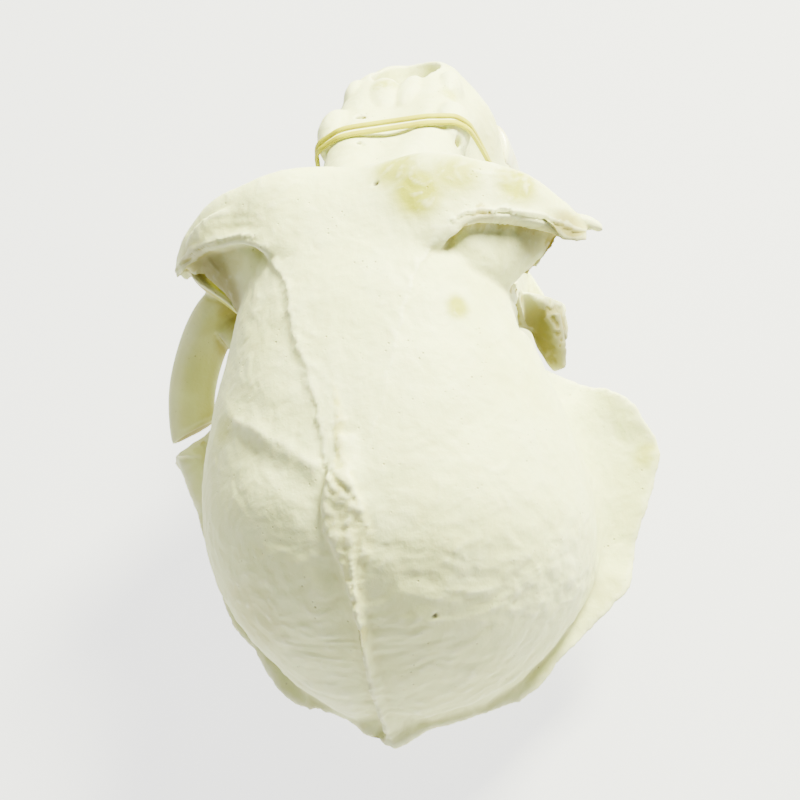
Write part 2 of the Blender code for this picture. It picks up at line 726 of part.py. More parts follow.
def taut_line(things):
    """The line in X and Z that a band pulled tight takes round what lies close to its plane."""
    found = []
    for thing in things:
        spots = np.empty(len(thing.data.vertices) * 3)
        thing.data.vertices.foreach_get("co", spots)
        spots = spots.reshape(-1, 3) / MM
        near = np.abs(spots[:, 1] - band_plane(spots[:, 0], spots[:, 2])) < BAND_REACH
        near &= spots[:, 2] > BAND_FLOOR
        found.append(spots[near][:, (0, 2)])
    found = np.vstack(found)
    angles = pi / 2 + np.linspace(0, 2 * pi, 720, endpoint=False)
    out = np.column_stack([np.cos(angles), np.sin(angles)])
    line = found[(found @ out.T).argmax(axis=0)] + out * BAND_CLEAR
    line = np.vstack([line, line[:1]])
    far = np.concatenate([[0], np.cumsum(np.linalg.norm(np.diff(line, axis=0), axis=1))])
    even = np.linspace(0, far[-1], BAND_STEPS, endpoint=False)
    return np.column_stack([np.interp(even, far, line[:, k]) for k in (0, 1)])


def rubber_band(things):
    """One elastic loop doubled round the snout: it goes round twice and crosses itself once, underneath."""
    once = taut_line(things)
    turns = np.vstack([once, once])
    middle = once.mean(axis=0)
    path = []
    for k, (x, z) in enumerate(turns):
        phase = 2 * pi * k / len(turns)
        outward = Vector((x - middle[0], z - middle[1])).normalized() * BAND_LIFT * max(0.0, sin(phase)) ** 3
        path.append((x + outward.x, band_plane(x, z) + BAND_SPREAD * cos(phase), z + outward.y))
    path = np.array(path)
    run = np.roll(path, -1, axis=0) - np.roll(path, 1, axis=0)
    rings = []
    for place, along in zip(path, run):
        along = along / np.linalg.norm(along)
        across = np.array((0.0, 1.0, 0.0)) - along * along[1]
        across /= np.linalg.norm(across)
        out = np.cross(along, across)
        rings.append(superellipse(place, across * BAND_HALF[1], out * BAND_HALF[0], 2.6, 6))
    return loft("rubber_band", rings, closed=True)


def right_brow_shard():
    """The splinter of cheekbone left on the right end of the brow."""
    return bar(
        "shard",
        [
            ((44.0, 108.6, 75.6), (0.0, 2.4, 1.6), 2.0),
            ((48.0, 108.6, 74.8), (0.0, 2.0, 1.8), 1.6),
            ((51.4, 107.6, 74.0), (0.0, 1.3, 1.3), 1.1),
        ],
        1,
    )


def build_bone():
    """The whole cranium as one surface, with a cheekbone on the left only."""
    pieces = [brow(), snout(), back_crest(), middle_crest(), right_brow_shard()] + skull_base()
    for side in (-1, 1):
        pieces += [
            socket("socket_wall", SOCKET_OUTSIDE, side),
            cheek_root(side),
        ]
    pieces += [bar("rear_arch", ARCH_REAR, -1), bar("front_arch", ARCH_FRONT, -1), outer_bar(-1)]
    bone = combine(vault(), pieces, "UNION")
    cuts = [nose_opening(), palate_cut(), back_nostrils()] + base_cuts()
    cuts += [socket("socket_hollow", SOCKET_INSIDE, side) for side in (-1, 1)]
    room = prism("broken_away", CHEEK_OUTLINE, CHEEK_BACK + 1.0, CHEEK_FRONT)
    return combine(bone, cuts + [room], "DIFFERENCE")


def copy_of(thing, name):
    made = thing.copy()
    made.data = thing.data.copy()
    made.name = name
    bpy.context.scene.collection.objects.link(made)
    return made


# The seams that divide the skull, as lines in Y and Z that run right across it.
CROWN_SEAM = [(66, 130), (66, 112), (72, 98), (84, 76), (90, 60), (94, 50), (94, -60)]
NOSE_SEAM = [(230, 176), (121, 77.6), (98, 56), (60, 30)]
BASE_SEAM = [(-60, 41.4), (120, 41.4)]
SEAM_CUT = 1.25  # how far a seam's cut is set off, as a share of the gap that it leaves
SLANT_CUT = 1.5  # the same for the slanting nose seam, set off straight up


def across_block(name, line, shift=(0.0, 0.0)):
    """A block right across the skull whose outline in Y and Z is given."""
    outline = [(y + shift[0], z + shift[1]) for y, z in line]
    return loft(name, [[(x, y, z) for y, z in outline] for x in (-90, 90)])


def divide(thing, name, block, shifted_block):
    """Takes the part of a body inside a block as a new object, and leaves a thin gap to it."""
    taken = largest_body(combine(copy_of(thing, name), [block], "INTERSECT"))
    largest_body(combine(thing, [shifted_block], "DIFFERENCE"))
    return taken


def divide_skull(bone):
    """The face comes off along the crown seam, the snout below the nose seam and the base under the crest."""
    front = CROWN_SEAM + [(260, -60), (260, 130)]
    back = (-NODE_GAP * SEAM_CUT, 0.0)
    face = divide(bone, "brow", across_block("front", front), across_block("front", front, back))
    below = NOSE_SEAM + [(60, -60), (260, -60), (260, 176)]
    rise = (0.0, NODE_GAP * SLANT_CUT)
    snout_part = divide(face, "snout", across_block("below", below), across_block("below", below, rise))
    under = BASE_SEAM + [(120, -60), (-60, -60)]
    rise = (0.0, NODE_GAP)
    base = divide(bone, "skull_base", across_block("under", under), across_block("under", under, rise))
    bone.name = "braincase"
    return [bone, base, face, snout_part]


def eased(value, start, end):
    """0 up to the start, 1 from the end on, and a soft slope between."""
    t = min(1.0, max(0.0, (value - start) / (end - start)))
    return t * t * (3 - 2 * t)


# Where the top of the snout starts to take less of the lean: along it, and up from the bite plane.
RIDGE_ALONG = (112.0, 140.0)
RIDGE_UP = (12.0, 52.0)
LEAN_POWER = 1.3


def lean_face(things):
    """Lets the face swing a little to the left, more towards its tip and less along the top of the snout."""
    for thing in things:
        for vert in thing.data.vertices:
            _, y, z = vert.co / MM
            run = max(0.0, (y - LEAN_START) / (LEAN_END - LEAN_START))
            upper = eased(y, *RIDGE_ALONG) * eased(z, *RIDGE_UP)
            vert.co.x -= FACE_LEAN * MM * run**LEAN_POWER * (1 - (1 - RIDGE_LEAN) * upper)
        thing.data.update()


BEHIND_MIDDLE = 80.0  # the condyles lie behind this
BEFORE_MIDDLE = 120.0  # and the canines in front of this


def rest_pitch(things):
    """The angle that brings the tips of the canines level with the condyles."""
    spots = np.array([vert.co for thing in things for vert in thing.data.vertices])
    back, front = spots[spots[:, 1] < BEHIND_MIDDLE * MM], spots[spots[:, 1] > BEFORE_MIDDLE * MM]
    low, high = 0.0, radians(45)
    for _ in range(40):
        angle = (low + high) / 2
        drop = [(group[:, 1] * sin(angle) + group[:, 2] * cos(angle)).min() for group in (front, back)]
        low, high = (angle, high) if drop[0] < drop[1] else (low, angle)
    return angle


def set_down(things):
    """Tips the skull nose up, centres it and sets it on the floor, worn flat where it stands."""
    turn = Matrix.Rotation(rest_pitch(things), 4, "X")
    for thing in things:
        thing.data.transform(turn)
    spots = np.array([vert.co for thing in things for vert in thing.data.vertices])
    low, high = spots.min(axis=0), spots.max(axis=0)
    shift = Matrix.Translation((-(low[0] + high[0]) / 2, -(low[1] + high[1]) / 2, -low[2] - REST_TRIM * MM))
    for thing in things:
        thing.data.transform(shift)
        if min(vert.co.z for vert in thing.data.vertices) < 0:
            combine(thing, [slab("floor", (0, 0, 0), (0, 0, -1))], "DIFFERENCE")
            largest_body(thing)
    return shift @ turn


def finish(things, band):
    """Gives each node its own material and puts it in the skull's collection."""
    home = bpy.data.collections.new("baboon_skull")
    bpy.context.scene.collection.children.link(home)
    for thing in things:
        colour, roughness = (BAND_COLOUR, 0.5) if thing is band else (BONE_COLOUR, 0.62)
        thing.data.name = thing.name
        thing.data.materials.clear()
        thing.data.materials.append(material(thing.name, colour, roughness))
        for face in thing.data.polygons:
            face.material_index = 0
        for old in list(thing.users_collection):
            old.objects.unlink(thing)
        home.objects.link(thing)


def main():
    clear_scene()
    bone = build_bone()
    refine(bone, VOXEL, 4)
    raise_crests(bone)
    thin_out(bone, BONE_TRIANGLES)
    cheekbone = combine(copy_of(bone, "left_cheekbone"), [cheek_room(-1, 0.0, 0.0)], "INTERSECT")
    largest_body(cheekbone)
    largest_body(combine(bone, [cheek_room(-1, NODE_GAP, SUTURE_GAP)], "DIFFERENCE"))
    combine(bone, teeth(), "UNION")
    parts = divide_skull(bone) + [cheekbone]
    band = rubber_band(parts)
    lean_face(parts + [band])
    place = set_down(parts + [band])
    finish(parts + [band], band)
    return place


REST_MATRIX = main()
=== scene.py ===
# %% [markdown]
# # A baboon's skull, dry and clean
#
# The skull is what is left when skin, muscle and lower jaw are gone: a rounded braincase with a
# crest along its back, a heavy brow, two eye sockets and a long snout with canines like daggers.
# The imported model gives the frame: every size here is in the same place as there. This script
# makes the skin of the bone again from the same stations, much finer, and then carves, wears and
# stains it.

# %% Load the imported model
from math import cos, pi, radians, sin

import bmesh
import bpy
import numpy as np
from mathutils import Matrix, Vector
from mathutils.bvhtree import BVHTree
from mathutils.kdtree import KDTree


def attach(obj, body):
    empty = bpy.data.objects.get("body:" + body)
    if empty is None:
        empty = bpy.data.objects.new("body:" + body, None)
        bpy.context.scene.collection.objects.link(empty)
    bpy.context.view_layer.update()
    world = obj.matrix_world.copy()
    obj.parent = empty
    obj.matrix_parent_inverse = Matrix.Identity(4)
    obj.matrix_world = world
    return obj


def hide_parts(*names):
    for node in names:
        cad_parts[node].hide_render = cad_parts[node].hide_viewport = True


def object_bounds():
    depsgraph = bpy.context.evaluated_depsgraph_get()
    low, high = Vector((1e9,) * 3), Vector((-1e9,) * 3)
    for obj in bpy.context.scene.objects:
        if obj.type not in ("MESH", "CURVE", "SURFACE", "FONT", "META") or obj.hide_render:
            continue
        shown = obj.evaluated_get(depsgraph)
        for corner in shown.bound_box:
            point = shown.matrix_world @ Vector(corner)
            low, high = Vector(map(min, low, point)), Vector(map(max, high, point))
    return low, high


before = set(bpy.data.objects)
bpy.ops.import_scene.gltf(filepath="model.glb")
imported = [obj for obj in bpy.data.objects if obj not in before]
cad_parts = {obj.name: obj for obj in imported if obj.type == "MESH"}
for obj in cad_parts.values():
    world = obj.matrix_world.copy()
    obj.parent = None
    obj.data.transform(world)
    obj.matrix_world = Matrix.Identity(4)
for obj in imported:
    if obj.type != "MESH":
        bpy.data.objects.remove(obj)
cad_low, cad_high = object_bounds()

# Lengths below are in millimetres, in the skull's own frame: X right, Y to the snout, Z up.
MM = 0.001
print("packed nodes:", sorted(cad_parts))

# %% [markdown]
# ## Helpers for shapes
#
# Bone has few flat faces and no straight edges. A curve through a few stations gives every shape
# here its run, and a ring of points at each station gives its section. A loft through such rings
# is a closed body, and closed bodies can be joined and cut. Sculpting by hand would also do, but
# stations keep the sizes readable.


# %% Curves and rings
def smooth(points, count, closed=False):
    """Points at even steps of a Catmull-Rom curve through the given ones, of any dimension."""
    knots = np.array(points, float)
    size = len(knots)
    spans = size if closed else size - 1
    where = np.linspace(0, spans, count, endpoint=not closed)
    span = np.minimum(where.astype(int), spans - 1)
    t = (where - span)[:, None]

    def knot(i):
        return knots[i % size] if closed else knots[np.clip(i, 0, size - 1)]

    before, start, end, after = (knot(span + k) for k in (-1, 0, 1, 2))
    return 0.5 * (
        2 * start
        + (end - before) * t
        + (2 * before - 5 * start + 4 * end - after) * t**2
        + (3 * start - before - 3 * end + after) * t**3
    )


def superellipse(centre, across, up, sharpness=2.0, count=36):
    """A closed ring about a centre; across and up are its half-axes as vectors."""
    centre, across, up = (np.array(v, float) for v in (centre, across, up))
    angle = 2 * pi * np.arange(count) / count
    c, s = (np.abs(v) ** (2 / sharpness) * np.sign(v) for v in (np.cos(angle), np.sin(angle)))
    return centre + np.outer(c, across) + np.outer(s, up)


def eased(value, start, end):
    """0 up to the start, 1 from the end on, and a soft slope between."""
    t = np.clip((value - start) / (end - start), 0, 1)
    return t * t * (3 - 2 * t)


def bell(distance, width):
    """1 at no distance and less and less on both sides, with about a third left at that width."""
    return np.exp(-((distance / width) ** 2))


print("a ring of", len(superellipse((0, 0, 0), (1, 0, 0), (0, 0, 1))), "points")


# %% Closed bodies
def mesh_object(name, bm):
    bmesh.ops.recalc_face_normals(bm, faces=bm.faces[:])
    mesh = bpy.data.meshes.new(name)
    bm.to_mesh(mesh)
    bm.free()
    made = bpy.data.objects.new(name, mesh)
    bpy.context.scene.collection.objects.link(made)
    return made


def loft(name, rings, closed=False):
    """One closed body through rings of points; a closed loft joins its last ring to its first."""
    bm = bmesh.new()
    rows = [[bm.verts.new(Vector(p) * MM) for p in ring] for ring in rings]
    steps = list(zip(rows, rows[1:])) + ([(rows[-1], rows[0])] if closed else [])
    for near, far in steps:
        for i in range(len(near)):
            j = (i + 1) % len(near)
            bm.faces.new((near[i], near[j], far[j], far[i]))
    if not closed:
        bm.faces.new(rows[0])
        bm.faces.new(rows[-1])
    return mesh_object(name, bm)


def ellipsoid(name, centre, radii, turn=(0.0, 0.0, 0.0)):
    """A sphere, stretched, turned by degrees about X, Y and Z, and set in place."""
    bm = bmesh.new()
    bmesh.ops.create_uvsphere(bm, u_segments=40, v_segments=26, radius=1.0)
    place = Matrix.Translation(Vector(centre) * MM)
    for angle, axis in zip(turn, "XYZ"):
        place = place @ Matrix.Rotation(radians(angle), 4, axis)
    place = place @ Matrix.Diagonal([*(r * MM for r in radii), 1.0])
    bmesh.ops.transform(bm, matrix=place, verts=bm.verts[:])
    return mesh_object(name, bm)


def prism(name, outline, low, high):
    """A flat outline in X and Z, drawn out along Y from low to high."""
    return loft(name, [[(x, y, z) for x, z in outline] for y in (low, high)])


def slab(name, origin, normal, depth):
    """A block that fills the side of a plane that its normal points to."""
    bm = bmesh.new()
    bmesh.ops.create_cube(bm, size=depth * MM)
    turn = Vector(normal).to_track_quat("Z", "Y").to_matrix().to_4x4()
    lift = Matrix.Translation((0, 0, depth / 2 * MM))
    place = Matrix.Translation(Vector(origin) * MM) @ turn @ lift
    bmesh.ops.transform(bm, matrix=place, verts=bm.verts[:])
    return mesh_object(name, bm)


def bar(name, stations, side, sharpness=2.3, count=22):
    """A bar of bone through stations: centre, half-height as a vector, half-thickness."""
    path = smooth([(*centre, *up, thick) for centre, up, thick in stations], count)
    path[:, [0, 3]] *= side
    rings = []
    for place, run in zip(path, np.gradient(path[:, :3], axis=0)):
        across = np.cross(run, place[3:6])
        across *= place[6] / np.linalg.norm(across)
        rings.append(superellipse(place[:3], across, place[3:6], sharpness, 24))
    return loft(name, rings)


def tube(name, stations, sharpness, steps, count):
    """A body along Y through stations: X, Y and Z of its centre, half-width, half-height."""
    rings = [
        superellipse(row[:3], (row[3], 0, 0), (0, 0, row[4]), sharpness, count)
        for row in smooth(stations, steps)
    ]
    return loft(name, rings)


print("bodies: loft, ellipsoid, prism, slab, bar, tube")


# %% Joining, cutting and fusing
def baked(thing):
    """Replaces an object's mesh by the one its modifiers make."""
    graph = bpy.context.evaluated_depsgraph_get()
    graph.update()
    mesh = bpy.data.meshes.new_from_object(thing.evaluated_get(graph))
    thing.modifiers.clear()
    thing.data = mesh
    return thing


def combine(body, others, operation):
    """Joins or cuts a body with a list of closed objects, which are then removed."""
    pieces = bpy.data.collections.new("pieces")
    bpy.context.scene.collection.children.link(pieces)
    for other in others:
        bpy.context.scene.collection.objects.unlink(other)
        pieces.objects.link(other)
    step = body.modifiers.new(operation.lower(), "BOOLEAN")
    step.operation = operation
    step.operand_type = "COLLECTION"
    step.collection = pieces
    step.solver = "MANIFOLD"
    baked(body)
    for other in others:
        bpy.data.objects.remove(other)
    bpy.data.collections.remove(pieces)
    return body


def edge_ends(mesh):
    ends = np.empty(len(mesh.edges) * 2, np.int64)
    mesh.edges.foreach_get("vertices", ends)
    return ends.reshape(-1, 2)


def largest_body(thing):
    """Keeps the biggest closed surface of an object and drops the rest."""
    ends = edge_ends(thing.data)
    label = np.arange(len(thing.data.vertices))
    while True:
        lowest = label.copy()
        np.minimum.at(lowest, ends[:, 0], label[ends[:, 1]])
        np.minimum.at(lowest, ends[:, 1], label[ends[:, 0]])
        lowest = lowest[lowest]
        if (lowest == label).all():
            break
        label = lowest
    names, sizes = np.unique(label, return_counts=True)
    drop = label != names[sizes.argmax()]
    if drop.any():
        bm = bmesh.new()
        bm.from_mesh(thing.data)
        bm.verts.ensure_lookup_table()
        bmesh.ops.delete(bm, geom=[bm.verts[i] for i in np.flatnonzero(drop)], context="VERTS")
        bm.to_mesh(thing.data)
        bm.free()
    return thing


def refine(thing, voxel, rounds):
    """Fuses what overlaps into one even surface and softens its creases."""
    step = thing.modifiers.new("even", "REMESH")
    step.mode = "VOXEL"
    step.voxel_size = voxel * MM
    soften = thing.modifiers.new("soften", "SMOOTH")
    soften.factor = 0.5
    soften.iterations = rounds
    return largest_body(baked(thing))


def copy_of(thing, name):
    made = thing.copy()
    made.data = thing.data.copy()
    made.name = name
    bpy.context.scene.collection.objects.link(made)
    return made


BONE_VOXEL = 0.5
BONE_ROUNDS = 6  # how often its creases are smoothed
print("bone surface every", BONE_VOXEL, "mm")

# %% [markdown]
# ## The braincase
#
# The braincase is an egg with its blunt end behind and a waist behind the eyes. Each station
# along Y gives the middle, the half-width, the top, the bottom and the height of the widest
# place, so that the egg can lean a little to one side as the real one does. Its upper half is a
# little squarer than its lower one.

# %% Braincase
VAULT = [
    (8, 1, 8, 67, 53, 60),
    (12, 2.2, 16.6, 73.5, 46, 60),
    (17.5, 2.8, 24.6, 81, 40, 59),
    (25, 3, 32.6, 88.6, 33, 57),
    (35, 2.8, 39.2, 94.8, 28.5, 56),
    (46, 2.2, 42.2, 98.3, 27, 55.5),
    (58, 1.4, 42, 98.6, 28, 56),
    (70, 1, 39, 98, 34, 60),
    (82, 0.8, 34.6, 96.8, 42, 65),
    (92, 0.6, 31.2, 95.3, 50, 69),
    (100, 0.4, 29.5, 93.5, 56, 71),
    (110, 0, 30, 90, 60, 72),
    (118, 0, 28, 86, 64, 73),
]
VAULT_LEAN = 0.8  # how much of the shift to one side is gone again at the top
SHARPNESS_ABOVE = 2.15
SHARPNESS_BELOW = 2.0


def vault():
    rings = []
    for y, middle, width, top, low, widest in smooth(VAULT, 88):
        centre, across = (middle, y, widest), (width, 0, 0)
        up = (-VAULT_LEAN * middle, 0, top - widest)
        upper = superellipse(centre, across, up, SHARPNESS_ABOVE, 96)
        under = superellipse(centre, across, (0, 0, widest - low), SHARPNESS_BELOW, 96)
        rings.append(np.where(upper[:, 2:] >= widest, upper, under))
    return loft("vault", rings)


print("braincase from", len(VAULT), "stations")

# %% [markdown]
# ## The crests
#
# Big jaw and neck muscles pull the bone up into thin blades: one along the middle of the back,
# one right round the back of the head, which runs forward as the shelf that carries the cheek
# arch. A blade is a section that is thick and hollow-sided where it springs from the braincase
# and thin at its edge, so the loft of such sections has the smooth fillet of the real bone
# without any extra step.

# %% Crests
INION = (0.0, 2.6, 58.0)  # the point of the crest at the back of the head
# Each station: its edge on the right and on the left, the place that it springs from, thickness.
CREST = [
    (INION, INION, (0.0, 22.0, 66.0), 4.4),
    ((8, 6.8, 56.4), (-7.4, 7.2, 56.4), (6, 24, 65), 3.8),
    ((17, 10.6, 54), (-14.6, 11, 54), (11, 27, 63), 3.4),
    ((28, 15.2, 50), (-25.4, 16, 51), (16, 32, 60), 3.2),
    ((34, 21.4, 48), (-31.6, 23.2, 48.6), (20, 36, 57), 3.2),
    ((40.8, 28.6, 46), (-37.9, 29.7, 46.4), (23, 40, 55), 3.2),
    ((48.6, 36.4, 44), (-42, 36.6, 44.4), (26, 44, 53), 3.2),
    ((51, 43, 43.5), (-43.4, 43.4, 44), (28, 49, 51), 3.4),
    ((53.6, 54.5, 44.6), (-44.8, 51, 45), (28, 57, 50.5), 4),
    ((56.4, 62.5, 45.6), (-48.2, 60, 46), (28, 64, 51), 4.2),
    ((58, 68.6, 46.4), (-51.2, 66, 47), (28, 71, 52), 4.2),
    ((56.6, 74, 49.2), (-53, 69, 49), (28, 78, 53.6), 4),
    ((52.6, 78.6, 51.6), (-47.6, 73.6, 51.4), (28, 83, 54.4), 3.8),
    ((41, 82, 53.6), (-39.6, 77.4, 53.4), (28, 87, 55), 3.4),
]
# The middle crest is a fin, steep on its left: Y and Z of its edge, Y and Z of its root, thickness.
MIDDLE_CREST = [
    (3, 58.6, 12.5, 57, 2.6),
    (6.2, 66.4, 15, 62, 1.8),
    (10, 74.2, 18.5, 68, 1.5),
    (15, 81.2, 22.5, 73.5, 1.5),
    (20.5, 87, 26.5, 78, 1.6),
    (27, 92, 31.5, 82.4, 2),
    (34, 95.6, 37, 86.2, 3),
    (42, 98.4, 43.5, 89.2, 4.4),
    (50, 99.9, 50.5, 91, 6.4),
    (58, 99.4, 58, 90, 6.4),
]
# The rough plate that the crest starts with: Y, X and Z of its left edge, X and Z of its right one.
CREST_PLATE = [
    (21, -0.5, 86.9, 0.6, 86.6),
    (24, -0.7, 90.2, 1, 89),
    (27, -1.4, 92.3, 1.7, 91.1),
    (30.5, -2.4, 94.2, 2, 92.9),
    (34, -3.2, 95.9, 3.4, 94.4),
    (37, -3.9, 97.1, 4.6, 95.7),
    (40, -5, 98.1, 4.8, 97),
    (43, -5.2, 99, 3.8, 98.7),
    (46, -4.8, 99.7, 2.4, 99.9),
    (50, -4, 100.2, 1.4, 100.2),
    (55, -3, 98.6, 1.2, 98.8),
]
PLATE_DEPTH = 5.0
EDGE_THINNING = 0.8  # the skin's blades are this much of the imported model's thickness
# How far a blade's foot reaches out at its root, and how fast that dies away.
FIN_LEFT = (3.0, 1.6)
FIN_RIGHT = (15.0, 1.25)
BACK_FOOT = (8.5, 2.6)
BACK_SAG = 1.4  # how deep the crest round the back is dished
BLADE_STEPS = (0.0, 0.1, 0.2, 0.3, 0.4, 0.5, 0.59, 0.67, 0.74, 0.8, 0.86, 0.91, 0.95, 0.98)


def blade_ring(edge, root, thick, across, feet, sag=0.0):
    """A section from root to edge: hollow-sided at the root, rounded at the edge, and dished."""
    edge, root, across = np.array(edge), np.array(root), np.array(across)
    sides = []
    for way, (swell, power) in zip((1, -1), feet):
        row = []
        for t in BLADE_STEPS:
            half = thick / 2 * EDGE_THINNING * (1 - t**9) ** 0.5 + swell * (1 - t) ** power
            row.append(root + (edge - root) * t + across * (way * half - sag * sin(pi * t)))
        sides.append(row)
    return sides[0] + [edge] + sides[1][::-1]


def back_crest():
    stations = [(*left, -root[0], *root[1:], thick) for _, left, root, thick in CREST[:0:-1]]
    stations += [(*right, *root, thick) for right, _, root, thick in CREST]
    rings = [
        blade_ring(row[:3], row[3:6], row[6], (0, 0, 1), (BACK_FOOT, BACK_FOOT), BACK_SAG)
        for row in smooth(stations, 200)
    ]
    return loft("back_crest", rings)


def middle_crest():
    rings = []
    for y, z, root_y, root_z, thick in smooth(MIDDLE_CREST, 80):
        feet = (FIN_RIGHT, FIN_LEFT)
        rings.append(blade_ring((0, y, z), (0, root_y, root_z), thick, (1, 0, 0), feet))
    return loft("middle_crest", rings)


def crest_plate():
    rings = []
    for y, left, z_left, right, z_right in smooth(CREST_PLATE, 60):
        middle = ((left + right) / 2, y, (z_left + z_right) / 2 - PLATE_DEPTH)
        across = ((right - left) / 2, 0, (z_right - z_left) / 2)
        rings.append(superellipse(middle, across, (0, 0, PLATE_DEPTH), 7.0, 36))
    return loft("crest_plate", rings)


print("crest round the back from", len(CREST), "stations a side")

# %% [markdown]
# ## Brow and eye sockets
#
# The brow is a thick bar right across the face, dipped in the middle and thrown back at its ends.
# Behind it each eye sat in a funnel of bone. The funnel is made twice: its outside is joined to
# the skull, and its inside is cut away.

# %% Brow
BROW_HALF_WIDTH = 47.6
BROW_LEFT = 0.92  # how much of that the left side reaches
# Stations along X with the brow's front, back, top and bottom.
BROW = [
    (0, 123.2, 92, 90.6, 72),
    (8, 123.4, 93, 91.6, 75),
    (16, 123, 98, 92.4, 80.5),
    (24, 121.6, 104, 91, 82),
    (32, 118.6, 105, 87.6, 79.5),
    (39, 115.2, 104.6, 83.4, 74.5),
    (44.4, 112.8, 103.8, 79.8, 70.5),
    (BROW_HALF_WIDTH, 109.6, 103.6, 76.4, 68.4),
]
# The rear half of its section, from the top round to the bottom: a thin rim over a hollow.
BROW_RIM = [
    (0, 1), (-0.35, 1), (-0.7, 0.98), (-0.93, 0.95), (-1.05, 0.86), (-1.02, 0.74),
    (-0.84, 0.6), (-0.68, 0.38), (-0.6, 0.05), (-0.58, -0.35), (-0.45, -0.8), (0, -1),
]
RIM_START = 14.0  # the rim begins this far from the middle
RIM_FULL = 23.0  # and has its full shape from here on
REAR_HALF = slice(12, 37)  # the points of a ring of 48 that are its rear half


def brow():
    across = [(-x * BROW_LEFT, f, b, t, u) for x, f, b, t, u in BROW[:0:-1]] + BROW
    plain = superellipse((0, 0, 0), (1, 0, 0), (0, 1, 0), 2.5, 48)[:, :2]
    rimmed = plain.copy()
    rimmed[REAR_HALF] = smooth(BROW_RIM, 25)
    rings = []
    for x, front, back, top, low in smooth(across, 120):
        section = plain + (rimmed - plain) * eased(abs(x), RIM_START, RIM_FULL)
        half, middle = ((front - back) / 2, (top - low) / 2), ((front + back) / 2, (top + low) / 2)
        rings.append([(x, y, z) for y, z in section * half + middle])
    return loft("brow", rings)


def right_brow_shard():
    """The splinter of cheekbone left on the right end of the brow."""
    stations = [
        ((44, 108.6, 75.6), (0, 2.4, 1.6), 2),
        ((48, 108.6, 74.8), (0, 2, 1.8), 1.6),
        ((51.4, 107.6, 74), (0, 1.3, 1.3), 1.1),
    ]
    return bar("shard", stations, 1)


print("brow", round(BROW_HALF_WIDTH * (1 + BROW_LEFT), 1), "mm wide")

# %% Eye sockets
# Each station: centre, half-width, half-height.
SOCKET_OUTSIDE = [
    ((23.4, 114.5, 72.5), 19.4, 17.2),
    ((22.6, 110, 72.2), 19, 17.2),
    ((20, 103.5, 72), 15, 16),
    ((17, 96, 71.5), 11, 14.4),
]
SOCKET_INSIDE = [
    ((23, 120, 71.8), 17, 14.4),
    ((22.2, 115, 71.4), 15.6, 13.6),
    ((21.4, 110, 71.2), 15, 13.4),
    ((19, 102, 71), 12.2, 11.6),
    ((15.5, 91, 71.5), 7.6, 7.5),
    ((12.5, 84, 72), 2.5, 2.5),
]
SOCKET_SWEEP = radians(20.0)  # how far a socket's rim falls back towards the side


def socket(name, stations, side):
    rings = []
    for x, y, z, across, up in smooth([(*c, w, h) for c, w, h in stations], 28):
        lateral = (side * across * cos(SOCKET_SWEEP), -across * sin(SOCKET_SWEEP), 0)
        rings.append(superellipse((side * x, y, z), lateral, (0, 0, up), 2.15, 48))
    return loft(name, rings)


print("sockets", 2 * SOCKET_INSIDE[1][1], "mm wide")

# %% [markdown]
# ## The snout
#
# The snout is longer than the rest of the face. Seen from the front it is a box with two low
# ridges on top, hollow sides and a wider edge that holds the teeth. Each station along Y is half
# an outline, from the middle of the top round to the palate, and its mirror image closes the
# ring.

# %% Snout
SNOUT = [
    (92.5, [
        (0, 56), (7, 56), (12, 52), (17, 47), (19, 42),
        (19, 32), (17.5, 21), (14.5, 16), (0, 16),
    ]),
    (96, [
        (0, 62), (8, 62), (14, 58), (21, 53), (23.5, 46),
        (23.5, 31), (21.5, 17), (18.5, 12), (0, 12),
    ]),
    (104, [
        (0, 72), (8, 71), (14, 63), (24, 57), (27, 49),
        (26.5, 32), (25.5, 15), (22, 8), (0, 9),
    ]),
    (112, [
        (0, 78), (7, 77), (12, 68), (22.5, 58.5), (26.5, 49),
        (25.5, 32), (26.4, 15), (24.5, 7), (0, 8),
    ]),
    (121, [
        (0, 77), (7, 76.2), (12.5, 68), (20, 57), (22.5, 45),
        (22, 30), (26, 15), (25, 6.5), (0, 8),
    ]),
    (130, [
        (0, 69.6), (8.2, 69.8), (14.2, 64), (17.2, 54), (17.2, 41),
        (19, 28), (24.6, 14), (24.2, 6), (0, 8),
    ]),
    (140, [
        (0, 61.6), (9.2, 62.8), (15, 58), (16.2, 49), (15.8, 38),
        (18.2, 26), (23.2, 13), (22.8, 6), (0, 8),
    ]),
    (149, [
        (0, 54.2), (9.6, 56), (15.2, 51.6), (16.6, 44), (16.8, 35),
        (20.2, 25), (22.8, 14), (22, 5.5), (0, 8),
    ]),
    (158, [
        (0, 47.4), (8.8, 49), (14.2, 45.4), (16.8, 38.5), (19.6, 30),
        (22.2, 21), (23, 12), (21.8, 5), (0, 7),
    ]),
    (166, [
        (0, 41.4), (8.2, 42.6), (12.8, 39), (15.6, 33), (18.4, 26),
        (20.8, 18), (21, 10), (18.8, 4.5), (0, 6),
    ]),
    (174, [
        (0, 32.6), (7.4, 33.6), (11.8, 31), (14.4, 26), (16.2, 20.5),
        (17.4, 14), (17.2, 8), (15, 4), (0, 5),
    ]),
    (181, [
        (0, 23), (6, 23.8), (9.4, 22), (11.6, 19), (12.8, 15),
        (13.6, 10.5), (13.2, 6.5), (11.2, 3.6), (0, 4),
    ]),
    (186.5, [
        (0, 13), (3.4, 13.2), (5.6, 12.4), (7, 11), (7.8, 9),
        (8, 7), (7.6, 5), (6.2, 3.4), (0, 3.4),
    ]),
]


